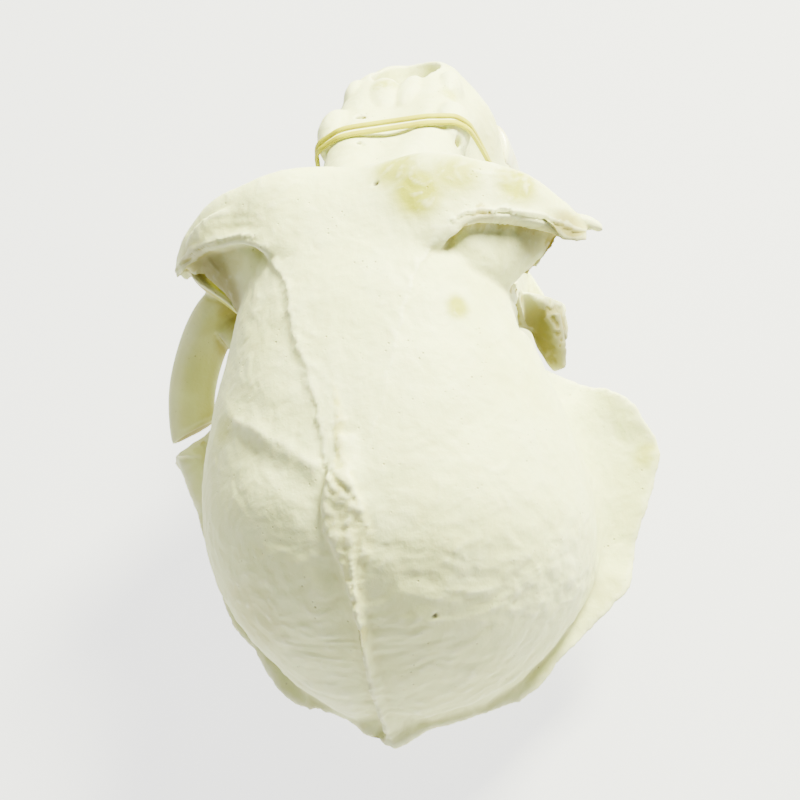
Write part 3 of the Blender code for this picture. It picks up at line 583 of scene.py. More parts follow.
def snout():
    rings = []
    for station in smooth([(y, *np.ravel(half)) for y, half in SNOUT], 92):
        y, half = station[0], station[1:].reshape(-1, 2)
        outline = smooth(np.vstack([half, half[-2:0:-1] * (-1, 1)]), 128, closed=True)
        rings.append([(x, y, z) for x, z in outline])
    return loft("snout", rings)


# Swellings on the snout: middle, half-sizes and turn. The first lie over the roots of the canines.
ROOT_SWELLINGS = [
    ((-13.5, 147, 51), (5.2, 10, 6.5), (-40, 0, 0)),
    ((13.6, 147, 50.6), (4.6, 10, 6), (-40, 0, 0)),
]
NOSE_ENDS = [
    ((-3.4, 160.5, 44.6), (4.4, 9.5, 3), (-36, 0, 4)),
    ((3, 160.5, 44.6), (3.8, 9, 3), (-36, 0, -4)),
    ((-11.4, 163, 38.6), (3.4, 8, 5), (-38, 0, 0)),
    ((12, 163, 39), (3.4, 8, 5), (-38, 0, 0)),
]


def swellings(rows):
    return [ellipsoid("swelling", *row) for row in rows]


print("snout from", len(SNOUT), "stations and", len(ROOT_SWELLINGS + NOSE_ENDS), "swellings")

# %% [markdown]
# ## Openings
#
# What is hollow on the real skull and open to the eye is cut here: the nose, the arch of the
# palate, the passage behind it, the great hole for the spinal cord, the hollows for the jaw joint
# and the ear holes. A few blood vessels and nerves also leave small round holes on the snout and
# over the eyes.


# %% Openings
def nose_opening():
    """The pear-shaped opening below the tip of the nose bones, cut back into the snout."""
    stations = [
        (0, 200, 42, 9, 19),
        (0, 178, 34, 8.8, 14.5),
        (0, 168, 33, 8.2, 13),
        (0, 161, 34, 7.2, 10.6),
        (0, 152, 34.5, 5.6, 7.5),
        (0, 140, 36, 3.5, 4),
    ]
    return tube("nose_opening", stations, 2.2, 24, 40)


def palate_cut():
    """The hollow of the hard palate, open below and at the back."""
    stations = [
        (0, 92, 4, 14.5, 13), (0, 100, 4, 15, 9), (0, 120, 4, 15.6, 9.5),
        (0, 145, 4, 15.2, 9), (0, 165, 4, 13, 7), (0, 177, 4, 7, 3.5),
    ]
    return tube("palate_cut", stations, 2.4, 32, 40)


def base_cuts():
    cuts = [
        ellipsoid("back_nostrils", (0, 90, 25), (9.5, 20, 9.5), (12, 0, 0)),
        ellipsoid("great_hole", (0, 30.0, 30.0), (7.6, 9.0, 14.0), (-38, 0, 0)),
    ]
    for side in (-1, 1):
        cuts += [
            ellipsoid("jaw_joint", (side * 40, 61.5, 38.5), (10.5, 7.5, 7.0)),
            ellipsoid("ear_hole", (side * 46, 47, 37.6), (9.0, 2.4, 2.4)),
        ]
    return cuts


# Small holes for vessels and nerves: place, radius and the way they lead.
SMALL_HOLES = [
    ((-7.1, 150.3, 54.8), 0.9, (0.2, -0.3, -0.9)),
    ((-5.1, 138.5, 63.6), 0.7, (0.2, -0.4, -0.9)),
    ((15.6, 140.9, 55.3), 0.9, (-0.6, -0.3, -0.7)),
    ((18.6, 128, 46), 1.3, (-0.8, -0.6, -0.1)),
    ((18.9, 132.5, 40), 1, (-0.9, -0.4, 0.1)),
    ((-18.6, 128, 46), 1.3, (0.8, -0.6, -0.1)),
    ((-18.9, 132.5, 40), 1, (0.9, -0.4, 0.1)),
    ((17, 122.6, 80.5), 0.8, (-0.1, -0.8, 0.5)),
    ((-16.2, 122.6, 80.5), 0.8, (0.1, -0.8, 0.5)),
    ((9.5, 41.5, 26), 1.2, (-0.4, 0.3, 0.8)),
    ((-9.5, 41.5, 26), 1.2, (0.4, 0.3, 0.8)),
    ((12, 66, 29.5), 1.6, (0.1, 0.3, 0.9)),
    ((-12, 66, 29.5), 1.6, (-0.1, 0.3, 0.9)),
]


def small_holes():
    cuts = []
    for place, radius, way in SMALL_HOLES:
        way = np.array(way) / np.linalg.norm(way)
        path = [np.array(place) + way * step for step in (-2.5, 0.0, 1.5, 3.0)]
        tilt = np.cross(way, (0.3, 0.5, 0.8))
        tilt /= np.linalg.norm(tilt)
        other = np.cross(way, tilt)
        rings = [
            superellipse(p, tilt * radius * wide, other * radius * wide, 2.0, 16)
            for p, wide in zip(path, (1.6, 1.0, 0.8, 0.5))
        ]
        cuts.append(loft("small_hole", rings))
    return cuts


print(len(SMALL_HOLES), "small holes")

# %% [markdown]
# ## Cheek arches
#
# A loop of bone runs from below the eye to the ear, outside the chewing muscle. Here only its
# rear half is left on the right side, while on the left the cheekbone is still in place, with the
# seam behind it open. The cheekbone is made with the skull and then taken off through the room
# that it fills, so both halves of each seam match.

# %% Arches
# Each station of a bar: centre, half-height as a vector, half-thickness.
ARCH_REAR = [
    ((41, 57, 46.6), (5, 0, 0), 1.4),
    ((44.6, 63.5, 47.6), (5.4, 0, 0.8), 2.2),
    ((47, 69.5, 48.9), (5, 0, 2.6), 2.4),
    ((48, 75, 50.2), (4.5, 0, 4), 2.3),
    ((48.4, 80, 51.2), (3.8, 0, 4.8), 2.3),
]
ARCH_FRONT = [
    ((47.4, 69, 49.2), (4.6, 0, 3.8), 2.6),
    ((48.6, 76, 50.4), (4, 0, 4.6), 2.9),
    ((48.6, 84, 51.6), (3.2, 0, 5.4), 3.2),
    ((46.8, 91.5, 52.6), (2.4, 0, 6.4), 3.4),
    ((43.8, 98, 54), (1, 0, 8), 3.8),
    ((40.6, 103, 54.6), (-1, 0, 9), 4.2),
    ((36, 106, 53.5), (-2, 0, 9), 4.8),
    ((31, 108, 51), (-2, 0, 9), 5),
]
OUTER_BAR = [
    ((37.8, 108.2, 80), (0, 3.2, 0), 2.3),
    ((38.4, 108.2, 73), (0, 3.9, 0.4), 2.5),
    ((38.6, 107.8, 66), (0, 4.4, 0.6), 2.7),
    ((38.6, 107, 59), (0, 5.1, 0.8), 3.5),
    ((38.2, 105.6, 52), (0, 5.5, 0.8), 4),
]
CHEEK_ROOT = [
    ((18, 109, 44), (0, 0, 17), 15),
    ((25, 107, 47), (0, 0, 12.6), 11),
    ((31, 104.5, 50), (0, 0, 9.6), 8.2),
    ((36, 101, 50.5), (0, 0, 8.2), 6.6),
    ((41, 98, 50.5), (0, 0, 7.6), 5.4),
]
# What is left of the right cheekbone: a break of two slopes that meet at its top, and a splinter.
STUMP_TOP = (34.5, 101.8, 56.8)
# Each slope: the way it faces, and the height down to which it is cut.
STUMP_SLOPES = [((0.05, -0.75, 0.66), 40.0), ((0.15, 0.96, 0.22), 42.0)]
STUMP_SIDES = (30.5, 50.0)
STUMP_CEILING = 66.0
STUMP_FRONT = 118.0
STUMP_SPLINTER = [
    ((34.6, 98.5, 49.4), (3.4, 0, 4), 2.6),
    ((35.6, 92.5, 47.2), (3, 0, 2.8), 2),
    ((36.8, 87.6, 45.4), (1.4, 0, 1.4), 1.2),
]
SUTURE_GAP = 2.8  # the open seam in the left cheek arch
CHEEK_SEAM = 0.3  # the tight seams between cheekbone and face
SEAM_POINT = (48.0, 75.6, 50.5)
SEAM_FACING = (-0.50, -0.76, -0.22)
# The room that the cheekbone fills, from the back to the front. Its rear part lies along the arch.
CHEEK_ROOM_REAR = 58.0
CHEEK_BACK = 86.0
CHEEK_FRONT = 128.0
CHEEK_OVERLAP = 4.0
ARCH_ROOM = [(41, 34), (66, 34), (66, 68), (41, 68)]
CHEEK_OUTLINE = [(31, 75), (64, 75), (64, 30), (39.5, 36), (39.0, 47), (37.0, 53), (31.0, 60.0)]


def cheek_room(side, grow, back):
    """The room of a cheekbone; grow widens it against the face, back moves its rear seam."""
    def widened(outline, top, below):
        inward = [(x - grow if x < 60 else x, z) for x, z in outline]
        return [(side * x, z + (grow if z > top else below)) for x, z in inward]

    front = prism("cheek_room", widened(CHEEK_OUTLINE, 70, 0), CHEEK_BACK - grow, CHEEK_FRONT)
    arch = widened(ARCH_ROOM, 60, -grow)
    rear = prism("rear_room", arch, CHEEK_ROOM_REAR, CHEEK_BACK + CHEEK_OVERLAP)
    facing = Vector(SEAM_FACING).normalized()
    origin = Vector(SEAM_POINT) + facing * back
    origin.x *= side
    facing.x *= side
    combine(rear, [slab("seam", origin, facing, 80.0)], "DIFFERENCE")
    return combine(front, [rear], "UNION")


print("open seam", SUTURE_GAP, "mm")

# %% [markdown]
# ## The underside
#
# Few people look there, but the skull stands on it: two smooth knobs that turned on the neck, the
# ear swellings, and four thin wings of bone that hang down behind the palate.

# %% Underside
CONDYLE = (10.5, 38.0, 25.0)
CONDYLE_RADII = (5.2, 8.2, 6.0)
# The bar of bone under the middle of the braincase: its centre, half-width, half-height.
MIDDLE_BAR = [
    (0, 40, 31, 13, 6), (0, 55, 31.5, 10, 6), (0, 70, 35, 9, 7),
    (0, 84, 42, 9.5, 11), (0, 100, 48, 10, 14),
]
WING = [
    ((10, 76, 42), (0, 7, 0), 3),
    ((11.5, 82, 32), (0, 7.5, 0), 1.8),
    ((13, 86, 22), (0, 7, 0), 1.5),
    ((13.8, 89, 13), (0, 5, 0), 1.4),
]
OUTER_WING = [
    ((13, 80, 42), (0, 6, 0), 2.4),
    ((17.5, 82, 32), (0, 6, 0), 1.6),
    ((20, 86, 22), (0, 6.5, 0), 1.4),
    ((19, 92, 15), (0, 5, 0), 2),
]


def skull_base():
    pieces = [tube("middle_bar", MIDDLE_BAR, 2.3, 30, 32)]
    for side in (-1, 1):
        x, y, z = CONDYLE
        pieces += [
            ellipsoid("condyle", (side * x, y, z), CONDYLE_RADII, (14, 0, side * 22)),
            ellipsoid("ear_swelling", (side * 22, 54, 31.5), (8, 15, 8), (8, 0, side * 26)),
            ellipsoid("ear_tube", (side * 35.5, 47, 39), (9.5, 5.0, 5.4)),
            ellipsoid("mastoid", (side * 27.5, 41.0, 40.0), (11.0, 14.5, 11.0), (0, 0, side * 26)),
            ellipsoid("stop_behind_jaw", (side * 34, 52, 40), (4.6, 2.6, 7.5)),
            ellipsoid("squama", (side * 27, 60, 46), (12, 24, 14)),
            bar("wing", WING, side),
            bar("outer_wing", OUTER_WING, side),
        ]
    return pieces


print("condyles", 2 * CONDYLE[0], "mm apart")


# %% Join the bone and take off the cheekbone
def stump_cuts():
    """What breaks away from the stump: the room round it, as far as it lies outside each slope."""
    inner, outer = STUMP_SIDES
    cuts = []
    for slope, low in STUMP_SLOPES:
        outline = [(inner, low), (outer, low), (outer, STUMP_CEILING), (inner, STUMP_CEILING)]
        room = prism("stump_room", outline, CHEEK_BACK, STUMP_FRONT)
        cuts.append(combine(room, [slab("stump_slope", STUMP_TOP, slope, 60.0)], "INTERSECT"))
    return cuts


def build_bone():
    """The whole cranium as one body, with a cheekbone on the left only."""
    pieces = [brow(), snout(), back_crest(), middle_crest(), crest_plate(), right_brow_shard()]
    pieces += skull_base() + swellings(ROOT_SWELLINGS)
    for side in (-1, 1):
        pieces += [socket("socket_wall", SOCKET_OUTSIDE, side), bar("cheek_root", CHEEK_ROOT, side)]
    left_bars = (("rear_arch", ARCH_REAR), ("front_arch", ARCH_FRONT), ("outer_bar", OUTER_BAR))
    pieces += [bar(name, stations, -1) for name, stations in left_bars]
    bone = combine(vault(), pieces, "UNION")
    cuts = [nose_opening(), palate_cut()] + base_cuts() + small_holes()
    cuts += [socket("socket_hollow", SOCKET_INSIDE, side) for side in (-1, 1)]
    cuts += [prism("broken_away", CHEEK_OUTLINE, CHEEK_BACK + 1.0, CHEEK_FRONT)] + stump_cuts()
    combine(bone, cuts, "DIFFERENCE")
    return combine(bone, swellings(NOSE_ENDS) + [bar("splinter", STUMP_SPLINTER, 1)], "UNION")


cranium = build_bone()
cranium.name = "cranium"
cheekbone = combine(copy_of(cranium, "cheekbone"), [cheek_room(-1, 0.0, 0.0)], "INTERSECT")
combine(cranium, [cheek_room(-1, CHEEK_SEAM, SUTURE_GAP)], "DIFFERENCE")
for bone in (cranium, cheekbone):
    refine(bone, BONE_VOXEL, BONE_ROUNDS)
    print(bone.name, len(bone.data.polygons), "faces")

# %% [markdown]
# ## Carving the surface
#
# A smooth loft is still a shape without life. Real bone is pulled up in lines where muscles held
# on, wrinkled across the back, pitted near the crests and torn where it broke. Each of these is a
# small move of the skin's points along their normals, worked out from how far a point is from a
# line or a spot. A displacement modifier with textures would also move them, but distances to
# real lines put each mark where it belongs.

# %% Reading and moving points
def points_of(thing):
    """Places and normals of an object's points, in millimetres."""
    count = len(thing.data.vertices)
    spots, facing = np.empty(count * 3), np.empty(count * 3)
    thing.data.vertices.foreach_get("co", spots)
    thing.data.vertices.foreach_get("normal", facing)
    return spots.reshape(-1, 3) / MM, facing.reshape(-1, 3)


def move_points(thing, spots):
    thing.data.vertices.foreach_set("co", (spots * MM).ravel())
    thing.data.update()


def lumps(spots, size, seed=0):
    """Smooth random values from -1 to 1 in lumps of that size, which may be one size or three."""
    where = spots / np.array(size) + 31.7 * seed
    cell = np.floor(where).astype(np.int64)
    t = where - cell
    t = t * t * (3 - 2 * t)
    total = np.zeros(len(spots))
    for corner in np.ndindex(2, 2, 2):
        x, y, z = (cell + corner).T
        mixed = (x * 73856093) ^ (y * 19349663) ^ (z * 83492791) ^ (seed * 2654435761)
        mixed = (mixed ^ (mixed >> 13)) * 1274126177 & 0x7FFFFFFF
        weight = np.prod(np.where(corner, t, 1 - t), axis=1)
        total += weight * ((mixed ^ (mixed >> 16)) % 65536 / 32767.5 - 1)
    return total


def from_line(spots, stations, steps=240):
    """Each point's distance from a curve, how far along it is (0 to 1), and its side from above."""
    line = smooth(stations, steps)[:, :3]
    tree = KDTree(steps)
    for i, place in enumerate(line):
        tree.insert(place, i)
    tree.balance()
    found = [tree.find(p)[1:] for p in spots]
    nearest = np.array([f[0] for f in found])
    away = np.array([f[1] for f in found])
    run = np.gradient(line, axis=0)[nearest]
    off = spots - line[nearest]
    side = np.sign(run[:, 0] * off[:, 1] - run[:, 1] * off[:, 0])
    return away, nearest / (steps - 1), side


def neighbour_mean(thing, values, rounds):
    """Averages values over neighbouring points again and again."""
    ends = edge_ends(thing.data)
    both = np.vstack([ends, ends[:, ::-1]])
    count = np.bincount(both[:, 0], minlength=len(values)).astype(float)
    values = values.copy()
    for _ in range(rounds):
        for k in range(values.shape[1]):
            total = np.bincount(both[:, 0], weights=values[both[:, 1], k], minlength=len(values))
            values[:, k] = total / count
    return values


def soften(thing, centre, radii, rounds):
    """Smooths the surface round a place, and less and less out to the given distances."""
    spots, _ = points_of(thing)
    away = np.linalg.norm((spots - centre) / radii, axis=1)
    ends = edge_ends(thing.data)
    both = np.vstack([ends, ends[:, ::-1]])
    both = both[away[both[:, 0]] < 1.0]
    zone, row = np.unique(both[:, 0], return_inverse=True)
    count = np.bincount(row)
    calm = spots.copy()
    for _ in range(rounds):
        calm[zone] = np.column_stack([
            np.bincount(row, calm[both[:, 1], k]) / count for k in range(3)
        ])
    move_points(thing, spots + (calm - spots) * eased(-away, -1.0, -0.6)[:, None])


ROUNDS = 190
# Joins between bodies that bone would fill: middle, distances, and what the rounds are divided by.
JOINS = [
    ((0, 106, 90), (20, 17, 9), 1),
    ((41, 56, 54), (12, 32, 12), 1),
    ((-38, 52, 54), (10, 26, 12), 1),
    ((-36, 98.5, 77), (8, 6, 8), 3),
]
for centre, radii, divisor in JOINS:
    soften(cranium, centre, radii, ROUNDS // divisor)
print("point helpers: points_of, move_points, lumps, from_line, neighbour_mean, soften")

# %% [markdown]
# ## Lines on the top
#
# Two lines run from the ends of the brow back over the top and meet in the middle crest. Between
# them the bone lies a little higher, and at the line it steps down sharply, with a rough lip. So
# each line's rise is gentle on the inner side and steep on the outer one, and random lumps along
# it make the lip uneven.

# %% Lines on the top
LEFT_LINE = [
    (-21.4, 104.4, 90.8), (-19.3, 101.9, 90.6), (-16.8, 99, 91.6), (-14.9, 96, 92.9),
    (-13.4, 89, 94.7), (-11.6, 81.8, 96), (-9.9, 75.9, 97.1), (-8.3, 70.2, 98),
    (-6.4, 64.5, 99), (-5.1, 59.2, 99.5), (-4.7, 54, 99.9), (-3.3, 49.8, 100.4),
]
RIGHT_LINE = [
    (23, 105.4, 90.9), (20.1, 103.8, 91.2), (18.2, 101.6, 91.2), (16.6, 99.2, 91.6),
    (14.7, 94.4, 93.4), (13.2, 89.4, 94.8), (11.8, 83, 96), (9.9, 75.8, 97.4),
    (7.6, 66, 98.8), (5.2, 58, 100), (3.2, 51, 100.5),
]
LINE_HEIGHTS = {-1: 0.7, 1: 0.6}  # how high the left and the right line stand
LINE_OUTER = 1.05  # width of the steep fall
LINE_INNER = (1.5, 7.0)  # widths of the lip and of the gentle fall on the inner side
LIP_SHARE = 0.35
LINE_JAGS = ((0.7, 4.6, 40), (0.4, 1.7, 50))  # how the lines wander: reach, size of lumps, seed
RIGHT_LOSS = 0.55  # the right line loses this much of its height on its way back
STRIP_WIDTH = (5.6, 4.2)  # from the left line inward, where the rough strip ends and is full
STRIP_RISE = 0.16
STRIP_LUMPS = 0.2
# A second, fainter line: the bone between it and the left line is rough.
SECOND_LINE = [
    (-3.4, 84, 96), (-3.2, 72.6, 98), (-2.4, 63.4, 98.9), (-2, 55.9, 99.9), (-1.8, 49, 100.6),
]


def rough(spots, size, seed):
    """Uneven bone: lumps of three sizes, the first as given, pushed about so that no grid shows."""
    shove = np.column_stack([lumps(spots, size * 1.7, seed + k) for k in (1, 2, 3)])
    pushed = spots + size * 0.9 * shove
    return sum(lumps(pushed, size * k, seed + 4) * k for k in (1.0, 0.55, 0.3)) / 1.3


def raise_lines(spots, facing):
    """Raises the lines. Also gives the points on top and how much each is in the rough strip."""
    _, y, z = spots.T
    top = np.flatnonzero((facing[:, 2] > 0) & (z > 70) & (y > 40) & (y < 112))
    p = spots[top]
    jagged = sum(reach * rough(p, size, seed) for reach, size, seed in LINE_JAGS)
    near = p + jagged[:, None] * (1, 0.5, 0)
    rise = np.zeros(len(top))
    for hand, line in ((-1, LEFT_LINE), (1, RIGHT_LINE)):
        away, along, side = from_line(near, line)
        outer = side * hand > 0
        height = LINE_HEIGHTS[hand] * eased(along, 0.0, 0.12) * (1 + 0.45 * rough(p, 4.0, 60))
        if hand > 0:
            height *= 1 - RIGHT_LOSS * eased(along, 0.45, 0.8)
        else:
            strip = np.where(outer, 0, eased(away, *STRIP_WIDTH)) * eased(along, 0.3, 0.5)
        lip, slope = (bell(away, width) for width in LINE_INNER)
        inner = LIP_SHARE * lip + (1 - LIP_SHARE) * slope
        rise = np.maximum(rise, height * np.where(outer, bell(away, LINE_OUTER), inner))
    away, along, side = from_line(near, SECOND_LINE)
    strip *= np.where(side > 0, 1, eased(-away, -0.8, 0.0))
    rise += strip * (STRIP_RISE + STRIP_LUMPS * rough(p, 1.9, 70))
    moved = spots.copy()
    moved[top] += (facing[top] * 0.4 + (0, 0, 0.6)) * rise[:, None]
    return moved, top, strip


spots, facing = points_of(cranium)
spots, top, strip = raise_lines(spots, facing)
warm = np.zeros(len(spots))
warm[top] = strip
move_points(cranium, spots)
print("lines raised by", LINE_HEIGHTS, "mm")

# %% [markdown]
# ## The rim of the brow
#
# Behind, the brow ends in a thin lip that hangs over the hollow where the jaw muscle lay. The lip
# is lifted a little along its run, two faint grooves follow it in front, and the bone behind and
# below it is pushed in.

# %% Rim of the brow
LEFT_RIM = [
    (-43.6, 104, 77.6), (-40.4, 105, 81), (-34.8, 104.9, 85.7), (-30.6, 105.1, 88),
    (-26.8, 105.4, 89.3), (-23.3, 105.1, 90.2), (-20.6, 104.3, 90.9),
]
RIGHT_RIM = [
    (46.6, 105.2, 77.8), (42.7, 106.2, 81.3), (38.9, 106.8, 83.9), (35.1, 107.1, 86.5),
    (31.3, 107.2, 88.5), (27.3, 106.9, 89.9), (24.3, 106.2, 90.7), (22.2, 105.1, 91.1),
]
RIM_LIFT = 0.7
RIM_HOLLOW = {-1: 2.4, 1: 2.9}
RIM_TIP = {-1: (37.0, 42.0), 1: (38.5, 43.5)}  # the hollow runs out before the tip of the brow
RIM_WIDTH = 1.5
RIM_ENDS = (18.5, 24.0)  # from the middle outward, the lift starts and is full
HOLLOW_ENDS = (21.0, 32.0)  # the same for the hollow
HOLLOW_REACH = 2.2  # the hollow is deepest at this distance from the rim
HOLLOW_WIDTH = 7.0
GROOVES = ((3.2, 0.2), (5.2, 0.16))  # how far in front of the rim, and how deep
GROOVE_WIDTH = 0.9


def shape_rim(spots, facing):
    moved = spots.copy()
    for hand, line in ((-1, LEFT_RIM), (1, RIGHT_RIM)):
        zone = np.flatnonzero((spots[:, 0] * hand > 17) & (spots[:, 1] > 88) & (spots[:, 2] > 62))
        p = spots[zone]
        out = p[:, 0] * hand
        line = np.array(sorted(line))
        ahead, over = (p[:, k] - np.interp(p[:, 0], line[:, 0], line[:, k]) for k in (1, 2))
        away = np.hypot(ahead, over)
        front = (ahead > 0) & (facing[zone, 2] > 0.2)
        under = (ahead < 0.6) & (over < 0.3)
        lift = RIM_LIFT * bell(away, RIM_WIDTH) * (1 + 0.2 * rough(p, 3.0, 80))
        if hand < 0:
            grooved = eased(p[:, 0], -33, -28) * eased(out, 16, 20)
            for where, deep in GROOVES:
                lift -= deep * bell(away - where, GROOVE_WIDTH) * grooved
        hollow = RIM_HOLLOW[hand] * eased(away, 0.3, HOLLOW_REACH)
        hollow *= bell(np.maximum(away - HOLLOW_REACH, 0), HOLLOW_WIDTH)
        hollow *= (1 - eased(out, *RIM_TIP[hand])) * eased(out, *HOLLOW_ENDS)
        push = np.where(under, -hollow, np.where(front, lift * eased(out, *RIM_ENDS), 0))
        moved[zone] += facing[zone] * push[:, None]
    return moved


spots, facing = points_of(cranium)
move_points(cranium, shape_rim(spots, facing))
print("rim lifted by", RIM_LIFT, "mm over a hollow of", RIM_HOLLOW[1], "mm")

# %% [markdown]
# ## Crest, swell and wrinkles
#
# Along the middle the crest starts as a rough ribbon and sharpens to the back. A low swell
# crosses the vault where the frontal bone meets the parietal ones. Behind, faint wavy wrinkles
# lie across the bone, and the edge of the big crest is scalloped.

# %% Swell, plate, wrinkles and scallops
SWELL_LEFT = [
    (-32, 69, 84), (-22.8, 63.3, 92.1), (-16.5, 58.8, 95.6), (-9.7, 54.2, 97.6), (-2.4, 49, 100.2),
]
VALLEY_RIGHT = [
    (4, 44, 98.6), (9, 47, 97.6), (15.1, 52, 96.4), (23.6, 62, 92.3), (31, 74, 83),
]
PLATE_GROOVE = [
    (-3, 50.2, 100.4), (-1.4, 48.2, 100.6), (0.4, 46.2, 100.6), (2, 44.4, 100), (2.6, 42.6, 98.8),
]
PIT = (-4.6, 51.0, 99.8)
# Widths and heights of the marks, in the order in which they are made.
SWELL = (2.1, 0.65)
SWELL_HOLLOW = (3.0, 0.5)
VALLEY = (4.5, 0.55)
GROOVE = (0.7, 0.55)
PIT_SIZE = (2.0, 0.8)
CREST_FOOT = (3.2, 1.1)
FOOT_DISTANCE = 4.2  # how far from the edge of the middle crest its left foot lies
# Lumps: height, size across, seed. The wrinkles are long across the skull and narrow along it.
WRINKLES = ((0.2, (9.0, 2.6, 2.6), 8), (0.13, (4.4, 1.25, 1.25), 15))
PUSHES = ((2.0, 11.0, 7), (0.8, 4.0, 14))  # they keep the wrinkles from lying straight
BROAD_LUMPS = (0.2, 7.0, 9)
FINE_LUMPS = (0.14, 2.6, 100)


def over_crest(spots):
    """How high each point lies over the edge of the middle crest."""
    crest = np.array(MIDDLE_CREST)
    return spots[:, 2] - np.interp(spots[:, 1], crest[:, 0], crest[:, 1])


def carve_vault(spots, facing):
    push = np.zeros(len(spots))
    x, y, z = spots.T
    top = np.flatnonzero((z > 62) & (y < 100))
    p = spots[top]
    away, along, side = from_line(p, SWELL_LEFT)
    ridge = SWELL[1] * bell(away, SWELL[0]) * (1 + 0.4 * rough(p, 4.0, 140))
    hollow = np.where(side < 0, SWELL_HOLLOW[1] * bell(away - 4.0, SWELL_HOLLOW[0]), 0)
    push[top] += eased(along, 0.0, 0.35) * eased(along, 1.0, 0.86) * (ridge - hollow)
    away, along, _ = from_line(p, VALLEY_RIGHT)
    ends = eased(along, 0.0, 0.2) * eased(along, 1.0, 0.7)
    push[top] -= VALLEY[1] * bell(away, VALLEY[0]) * ends
    away, along, _ = from_line(p, PLATE_GROOVE)
    push[top] -= GROOVE[1] * bell(away, GROOVE[0]) * eased(along, 1.0, 0.8)
    push[top] -= PIT_SIZE[1] * bell(np.linalg.norm(p - PIT, axis=1), PIT_SIZE[0])
    plate = np.array(CREST_PLATE)
    left, right = (np.interp(y, plate[:, 0], plate[:, k]) for k in (1, 3))
    inside = eased(x, left - 0.4, left + 0.6) * eased(x, right + 1.2, right - 0.6)
    inside *= eased(y, 20, 25) * eased(y, 53, 48) * (z > 80)
    push += inside * 0.3 * rough(spots, 2.0, 90)
    np.maximum(warm, 0.5 * inside, out=warm)
    beside = np.hypot(x, over_crest(spots))
    foot = CREST_FOOT[1] * bell(beside - FOOT_DISTANCE, CREST_FOOT[0]) * (x < 0.3) * (z > 56)
    push -= foot * eased(y, 40, 26)
    shove = sum(reach * lumps(spots, size, seed) for reach, size, seed in PUSHES)
    pushed = spots + shove[:, None]
    wrinkled = sum(high * lumps(pushed, size, seed) for high, size, seed in WRINKLES)
    push += eased(y, 60, 24) * eased(z, 44, 56) * wrinkled
    for kind, (high, size, seed) in ((lumps, BROAD_LUMPS), (rough, FINE_LUMPS)):
        push += high * kind(spots, size, seed)
    return spots + facing * push[:, None]


def ragged_edge(spots):
    """Notches in the thin middle crest behind the plate."""
    rear = np.flatnonzero((np.abs(spots[:, 0]) < 2.5) & (spots[:, 1] < 30) & (spots[:, 2] > 60))
    p = spots[rear]
    near = bell(np.hypot(p[:, 0], over_crest(p)), 1.5)
    moved = spots.copy()
    moved[rear] += (near * (0.35 + 0.5 * rough(p, 2.2, 110)))[:, None] * (0, -0.6, 0.8)
    moved[rear, 0] += near * 0.35 * rough(p, 3.0, 120)
    return moved


def scallop_crest(spots):
    """Waves and small bites in the edge of the crest that runs round the back of the head."""
    low = np.flatnonzero((spots[:, 1] < 84) & (spots[:, 2] > 38) & (spots[:, 2] < 66))
    p = spots[low]
    edge = [left for _, left, _, _ in CREST[:0:-1]] + [right for right, _, _, _ in CREST]
    away, along, _ = from_line(p, edge, 600)
    near = bell(away, 2.4)
    outward = p - (0, 48, 0)
    outward[:, 2] = 0
    outward /= np.linalg.norm(outward, axis=1)[:, None]
    wave = 0.8 + 0.6 * lumps(p, 7.5, 11) + 0.3 * rough(p, 3.0, 12)
    moved = spots.copy()
    moved[low] += outward * (near * wave)[:, None]
    moved[low, 2] += near * 0.45 * lumps(p, 5.0, 13)
    return moved


spots, facing = points_of(cranium)
spots = ragged_edge(scallop_crest(carve_vault(spots, facing)))
move_points(cranium, spots)
print("vault carved:", len(spots), "points")

# %% [markdown]
# ## Breaks and small holes
#
# Where the right cheekbone came off, the seams are torn and show the spongy inside of the bone.
# Small holes let vessels and nerves through. A voxel skin would close them, so they are pushed in
# here, point by point, and their points are kept for painted shade.

# %% Breaks and small holes
# Small holes: place, radius and depth.
PINHOLES = [
    ((-7.6, 150.6, 55), 0.7, 1.4),
    ((-6, 139.6, 62.8), 0.6, 1.2),
    ((15.4, 141, 56), 0.5, 1),
    ((5.4, 115.9, 90.6), 0.6, 0.4),
    ((15.4, 24, 86), 0.45, 0.4),
]
BREAK_DEPTH = 0.4


def roughen_breaks(thing, side):
    spots, facing = points_of(thing)
    x, y, z = spots.T
    zone = np.flatnonzero((x * side > 29) & (y > CHEEK_BACK) & (z < 76))
    p = spots[zone]
    near = np.zeros(len(p))
    for start, end in zip(CHEEK_OUTLINE, CHEEK_OUTLINE[1:] + CHEEK_OUTLINE[:1]):
        run = np.array(end) - start
        off = p[:, (0, 2)] * (side, 1) - start
        share = np.clip(off @ run / (run @ run), 0, 1)
        away = np.linalg.norm(off - share[:, None] * run, axis=1)
        near = np.maximum(near, eased(away, 0.9, 0.3))
    spots[zone] += facing[zone] * (near * (BREAK_DEPTH * rough(p, 1.6, 130) - 0.2))[:, None]
    move_points(thing, spots)


def push_holes(thing):
    spots, facing = points_of(thing)
    # Painted shade: how far each point lies in a small hole; the bone material paints these dark.
    painted_shade = np.zeros(len(spots))
    for place, radius, depth in PINHOLES:
        centre = spots[np.linalg.norm(spots - place, axis=1).argmin()]
        share = eased(np.linalg.norm(spots - centre, axis=1), 1.4 * radius, 0.5 * radius)
        spots -= facing * (share * depth)[:, None]
        painted_shade = np.maximum(painted_shade, share)
    move_points(thing, spots)
    return painted_shade


roughen_breaks(cranium, 1)
painted_shade = push_holes(cranium)
print(len(PINHOLES), "small holes pushed in")

# %% [markdown]
# ## Out of true
#
# No skull is a perfect mirror of itself. After the marks are on it, a few broad places are pulled
# one or two millimetres, each fading out softly round it, as the outline of the photographed
# skull asks.

